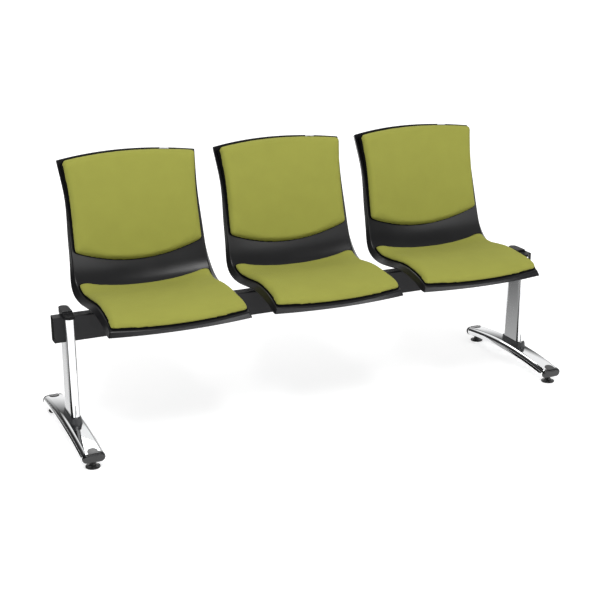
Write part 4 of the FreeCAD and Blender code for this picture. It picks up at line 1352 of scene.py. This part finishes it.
def studio_world(strength):
    """Even light on the object and white to the camera.

    Mirrors see what stands round a studio: white floor and screen low down behind, a dark
    gap over the screen, bright ceiling panels above, and dimmer room in front and at left.
    """
    world = bpy.data.worlds.new("studio")
    world.use_nodes = True
    tree = world.node_tree
    tree.nodes.clear()
    way = add_node(tree, "ShaderNodeSeparateXYZ",
                   {"Vector": add_node(tree, "ShaderNodeTexCoord").outputs["Generated"]})
    zones = (("Y", -0.1, 0.4, MIRROR_DIM, 1.0), ("Z", 0.14, 0.36, 1.0, MIRROR_GAP),
             ("Z", 0.37, 0.47, MIRROR_GAP, 1.0), ("X", -0.32, -0.05, MIRROR_GAP, 1.0))
    behind, screen, ceiling, aside = [
        add_node(tree, "ShaderNodeMapRange",
                 {"Value": way.outputs[axis], "From Min": near, "From Max": far,
                  "To Min": first, "To Max": last}).outputs["Result"]
        for axis, near, far, first, last in zones]
    height = add_node(tree, "ShaderNodeMath", {0: screen, 1: ceiling}, operation="MAXIMUM")
    rear = add_node(tree, "ShaderNodeMath", {0: behind, 1: height.outputs[0]},
                    operation="MULTIPLY")
    mirrored = add_node(tree, "ShaderNodeMath", {0: rear.outputs[0], 1: aside},
                        operation="MULTIPLY")
    path = add_node(tree, "ShaderNodeLightPath")
    clear = add_node(tree, "ShaderNodeMath",
                     {0: path.outputs["Is Camera Ray"], 1: path.outputs["Is Transmission Ray"]},
                     operation="MAXIMUM")
    lit = add_node(tree, "ShaderNodeMix", {0: path.outputs["Is Glossy Ray"], 2: strength,
                                           3: mirrored.outputs[0]})
    level = add_node(tree, "ShaderNodeMix", {0: clear.outputs[0], 2: lit.outputs[0], 3: 1.0})
    shine = add_node(tree, "ShaderNodeBackground",
                     {"Color": (1, 1, 1, 1), "Strength": level.outputs[0]})
    add_node(tree, "ShaderNodeOutputWorld", {"Surface": shine.outputs[0]})
    return world


def card(name, corners, axis, near, far, colours, strength=1.0):
    """A glowing card that only mirrors show, laid out as a photographer lays one out: a painted
    reflection.

    It changes from the first colour to the second between near and far along an axis.
    """
    bm = bmesh.new()
    bmesh.ops.contextual_create(bm, geom=[bm.verts.new(corner) for corner in corners])
    mesh = bpy.data.meshes.new(name)
    bm.to_mesh(mesh)
    bm.free()
    material, tree, place = new_material(name + "_paper")
    parts = add_node(tree, "ShaderNodeSeparateXYZ", {"Vector": place})
    share = add_node(tree, "ShaderNodeMapRange",
                     {"Value": parts.outputs[axis], "From Min": near, "From Max": far,
                      "To Min": 0.0, "To Max": 1.0})
    # Painted reflection: the colour this card glows with is what the polished parts mirror
    painted_reflection = add_node(tree, "ShaderNodeMix",
                     {0: share.outputs["Result"], 6: linear(colours[0]),
                      7: linear(colours[1])}, data_type="RGBA")
    shine = add_node(tree, "ShaderNodeEmission",
                     {"Color": painted_reflection.outputs[2], "Strength": strength})
    add_node(tree, "ShaderNodeOutputMaterial", {"Surface": shine.outputs[0]})
    mesh.materials.append(material)
    made = bpy.data.objects.new(name, mesh)
    made.visible_camera = made.visible_diffuse = made.visible_shadow = False
    made.visible_transmission = made.visible_volume_scatter = False
    bpy.context.scene.collection.objects.link(made)


def lay_cards(side, flat_colours):
    """Round a leg, cards that paint reflections: a dark card to its left, a plain one behind and a
    grey one at right.

    The cards meet along the line that the upright's flat side mirrors.
    """
    foot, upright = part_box("foot_" + side)[0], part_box("leg_upright_" + side)
    edge, left, right = foot.x - 0.005, upright[0].x, upright[1].x
    front, rear = upright[0].y, upright[1].y
    slope = (left - CAMERA_PLACE.x) / (front - CAMERA_PLACE.y)
    reach = 1.3 * slope

    def on_floor(x, y):
        return x, y, 0.001

    def line(x):
        return on_floor(x, front + (left - x) / slope)
    card("dark_card_" + side,
         (on_floor(edge, front - 0.12), line(edge), line(left - reach),
          on_floor(edge - 1.0, front + 1.2), on_floor(edge - 1.0, front + 0.1)),
         "Y", front + 0.15, front + 0.5, ("#030303", "#a4a4a4"))
    behind = line(left - reach)
    card("flat_card_" + side,
         (on_floor(left, front), on_floor(left, rear + 0.02),
          on_floor(behind[0], behind[1] + rear - front + 0.02), behind),
         "Y", rear + 0.1, rear + 1.0, flat_colours)
    card("side_card_" + side,
         (on_floor(right + 0.02, front + 0.01), on_floor(right + 0.02, front + 0.03),
          on_floor(right + 0.6, front + 0.6), on_floor(right + 0.8, front + 0.36)),
         "X", right, right + 1, ("#6c6c6c", "#6c6c6c"))


class BENCH_OT_stage(bpy.types.Operator):
    """Floor, soft light and the camera of the photograph"""
    bl_idname = "bench.stage"
    bl_label = "Stage"

    def execute(self, context):
        scene = context.scene
        settings = scene.bench_stage
        bm = bmesh.new()
        bmesh.ops.create_circle(bm, cap_ends=True, radius=FLOOR_RADIUS,
                                segments=settings.floor_sides)
        mesh = bpy.data.meshes.new("floor")
        bm.to_mesh(mesh)
        bm.free()
        mesh.materials.append(painted_floor())
        floor = bpy.data.objects.new("floor", mesh)
        scene.collection.objects.link(floor)
        scene.world = studio_world(settings.room_light)
        # Painted reflections: the cards' colours paint dark streaks and grey bands into the
        # polished legs and feet
        lay_cards("left", ("#ececec", "#d6d6d6"))
        lay_cards("right", ("#b2b2b2", "#4a4a4a"))
        # A dark card behind the bench paints a dark reflection into the polished parts
        card("far_card", ((-0.15, 1.15, 0.002), (-2.6, 1.15, 0.002), (-2.6, 3.6, 0.002),
                          (-0.15, 3.6, 0.002)), "Y", 1.1, 1.5, ("#303030", "#0a0a0a"))
        # A bright glowing card in front paints a highlight on the lips, seen only in mirrors
        card("low_card", ((-0.8, -4, 0.95), (3.2, -3.6, 0.95), (3.2, -3.6, 2.0),
                          (-0.8, -4, 2.0)), "X", -0.5, 2.5, ("#b4b4b4", "#ffffff"), 4.0)

        lamps = (("key", (-1.1, -2.3, 4.5), (2.2, 2.2), settings.key_power),
                 ("low", (1.5, -3.9, 1.45), (3.0, 1.1), settings.low_power),
                 ("rear", (0.8, 3.6, 4.4), (2.4, 2.4), settings.rear_power))
        for name, place, size, power in lamps:
            light = bpy.data.lights.new(name, "AREA")
            light.shape = "RECTANGLE"
            light.size, light.size_y = size
            light.energy = power
            lamp = bpy.data.objects.new(name, light)
            lamp.location = place
            aim = Vector((0, 0, 0.5)) - lamp.location
            lamp.rotation_mode = "QUATERNION"
            lamp.rotation_quaternion = aim.to_track_quat("-Z", "Y")
            scene.collection.objects.link(lamp)

        lens = bpy.data.cameras.new("camera")
        lens.lens = settings.camera_lens
        lens.sensor_width = 36
        lens.clip_end = 100
        camera = bpy.data.objects.new("camera", lens)
        scene.collection.objects.link(camera)
        camera.matrix_world = (Matrix.Translation(CAMERA_PLACE)
                               @ Matrix.Rotation(math.radians(CAMERA_TURN), 4, "Z")
                               @ Matrix.Rotation(math.radians(90 - CAMERA_FALL), 4, "X"))
        scene.camera = camera
        scene.view_settings.view_transform = "Standard"
        return {"FINISHED"}


class BENCH_PT_sidebar(bpy.types.Panel):
    bl_label = "Beam seating"
    bl_idname = "BENCH_PT_sidebar"
    bl_space_type = "VIEW_3D"
    bl_region_type = "UI"
    bl_category = "Bench"

    def draw(self, context):
        for group in ("bench_sizes", "bench_colours", "bench_stage"):
            settings = getattr(context.scene, group)
            for name in settings.__annotations__:
                self.layout.prop(settings, name)
        for operator in OPERATORS:
            self.layout.operator(operator.bl_idname)


OPERATORS = (BENCH_OT_shells, BENCH_OT_pads, BENCH_OT_feet, BENCH_OT_foot_caps,
             BENCH_OT_uprights, BENCH_OT_leg_trim, BENCH_OT_glides, BENCH_OT_beam,
             BENCH_OT_tags, BENCH_OT_fasteners, BENCH_OT_stage)
CLASSES = (BenchColours, BenchSizes, Stage) + OPERATORS + (BENCH_PT_sidebar,)


def register():
    for cls in CLASSES:
        bpy.utils.register_class(cls)
    bpy.types.Scene.bench_colours = PointerProperty(type=BenchColours)
    bpy.types.Scene.bench_sizes = PointerProperty(type=BenchSizes)
    bpy.types.Scene.bench_stage = PointerProperty(type=Stage)


def unregister():
    del bpy.types.Scene.bench_stage
    del bpy.types.Scene.bench_sizes
    del bpy.types.Scene.bench_colours
    for cls in reversed(CLASSES):
        bpy.utils.unregister_class(cls)


def main():
    register()
    for operator in OPERATORS:
        group, name = operator.bl_idname.split(".")
        getattr(getattr(bpy.ops, group), name)()


if __name__ == "__main__":
    main()
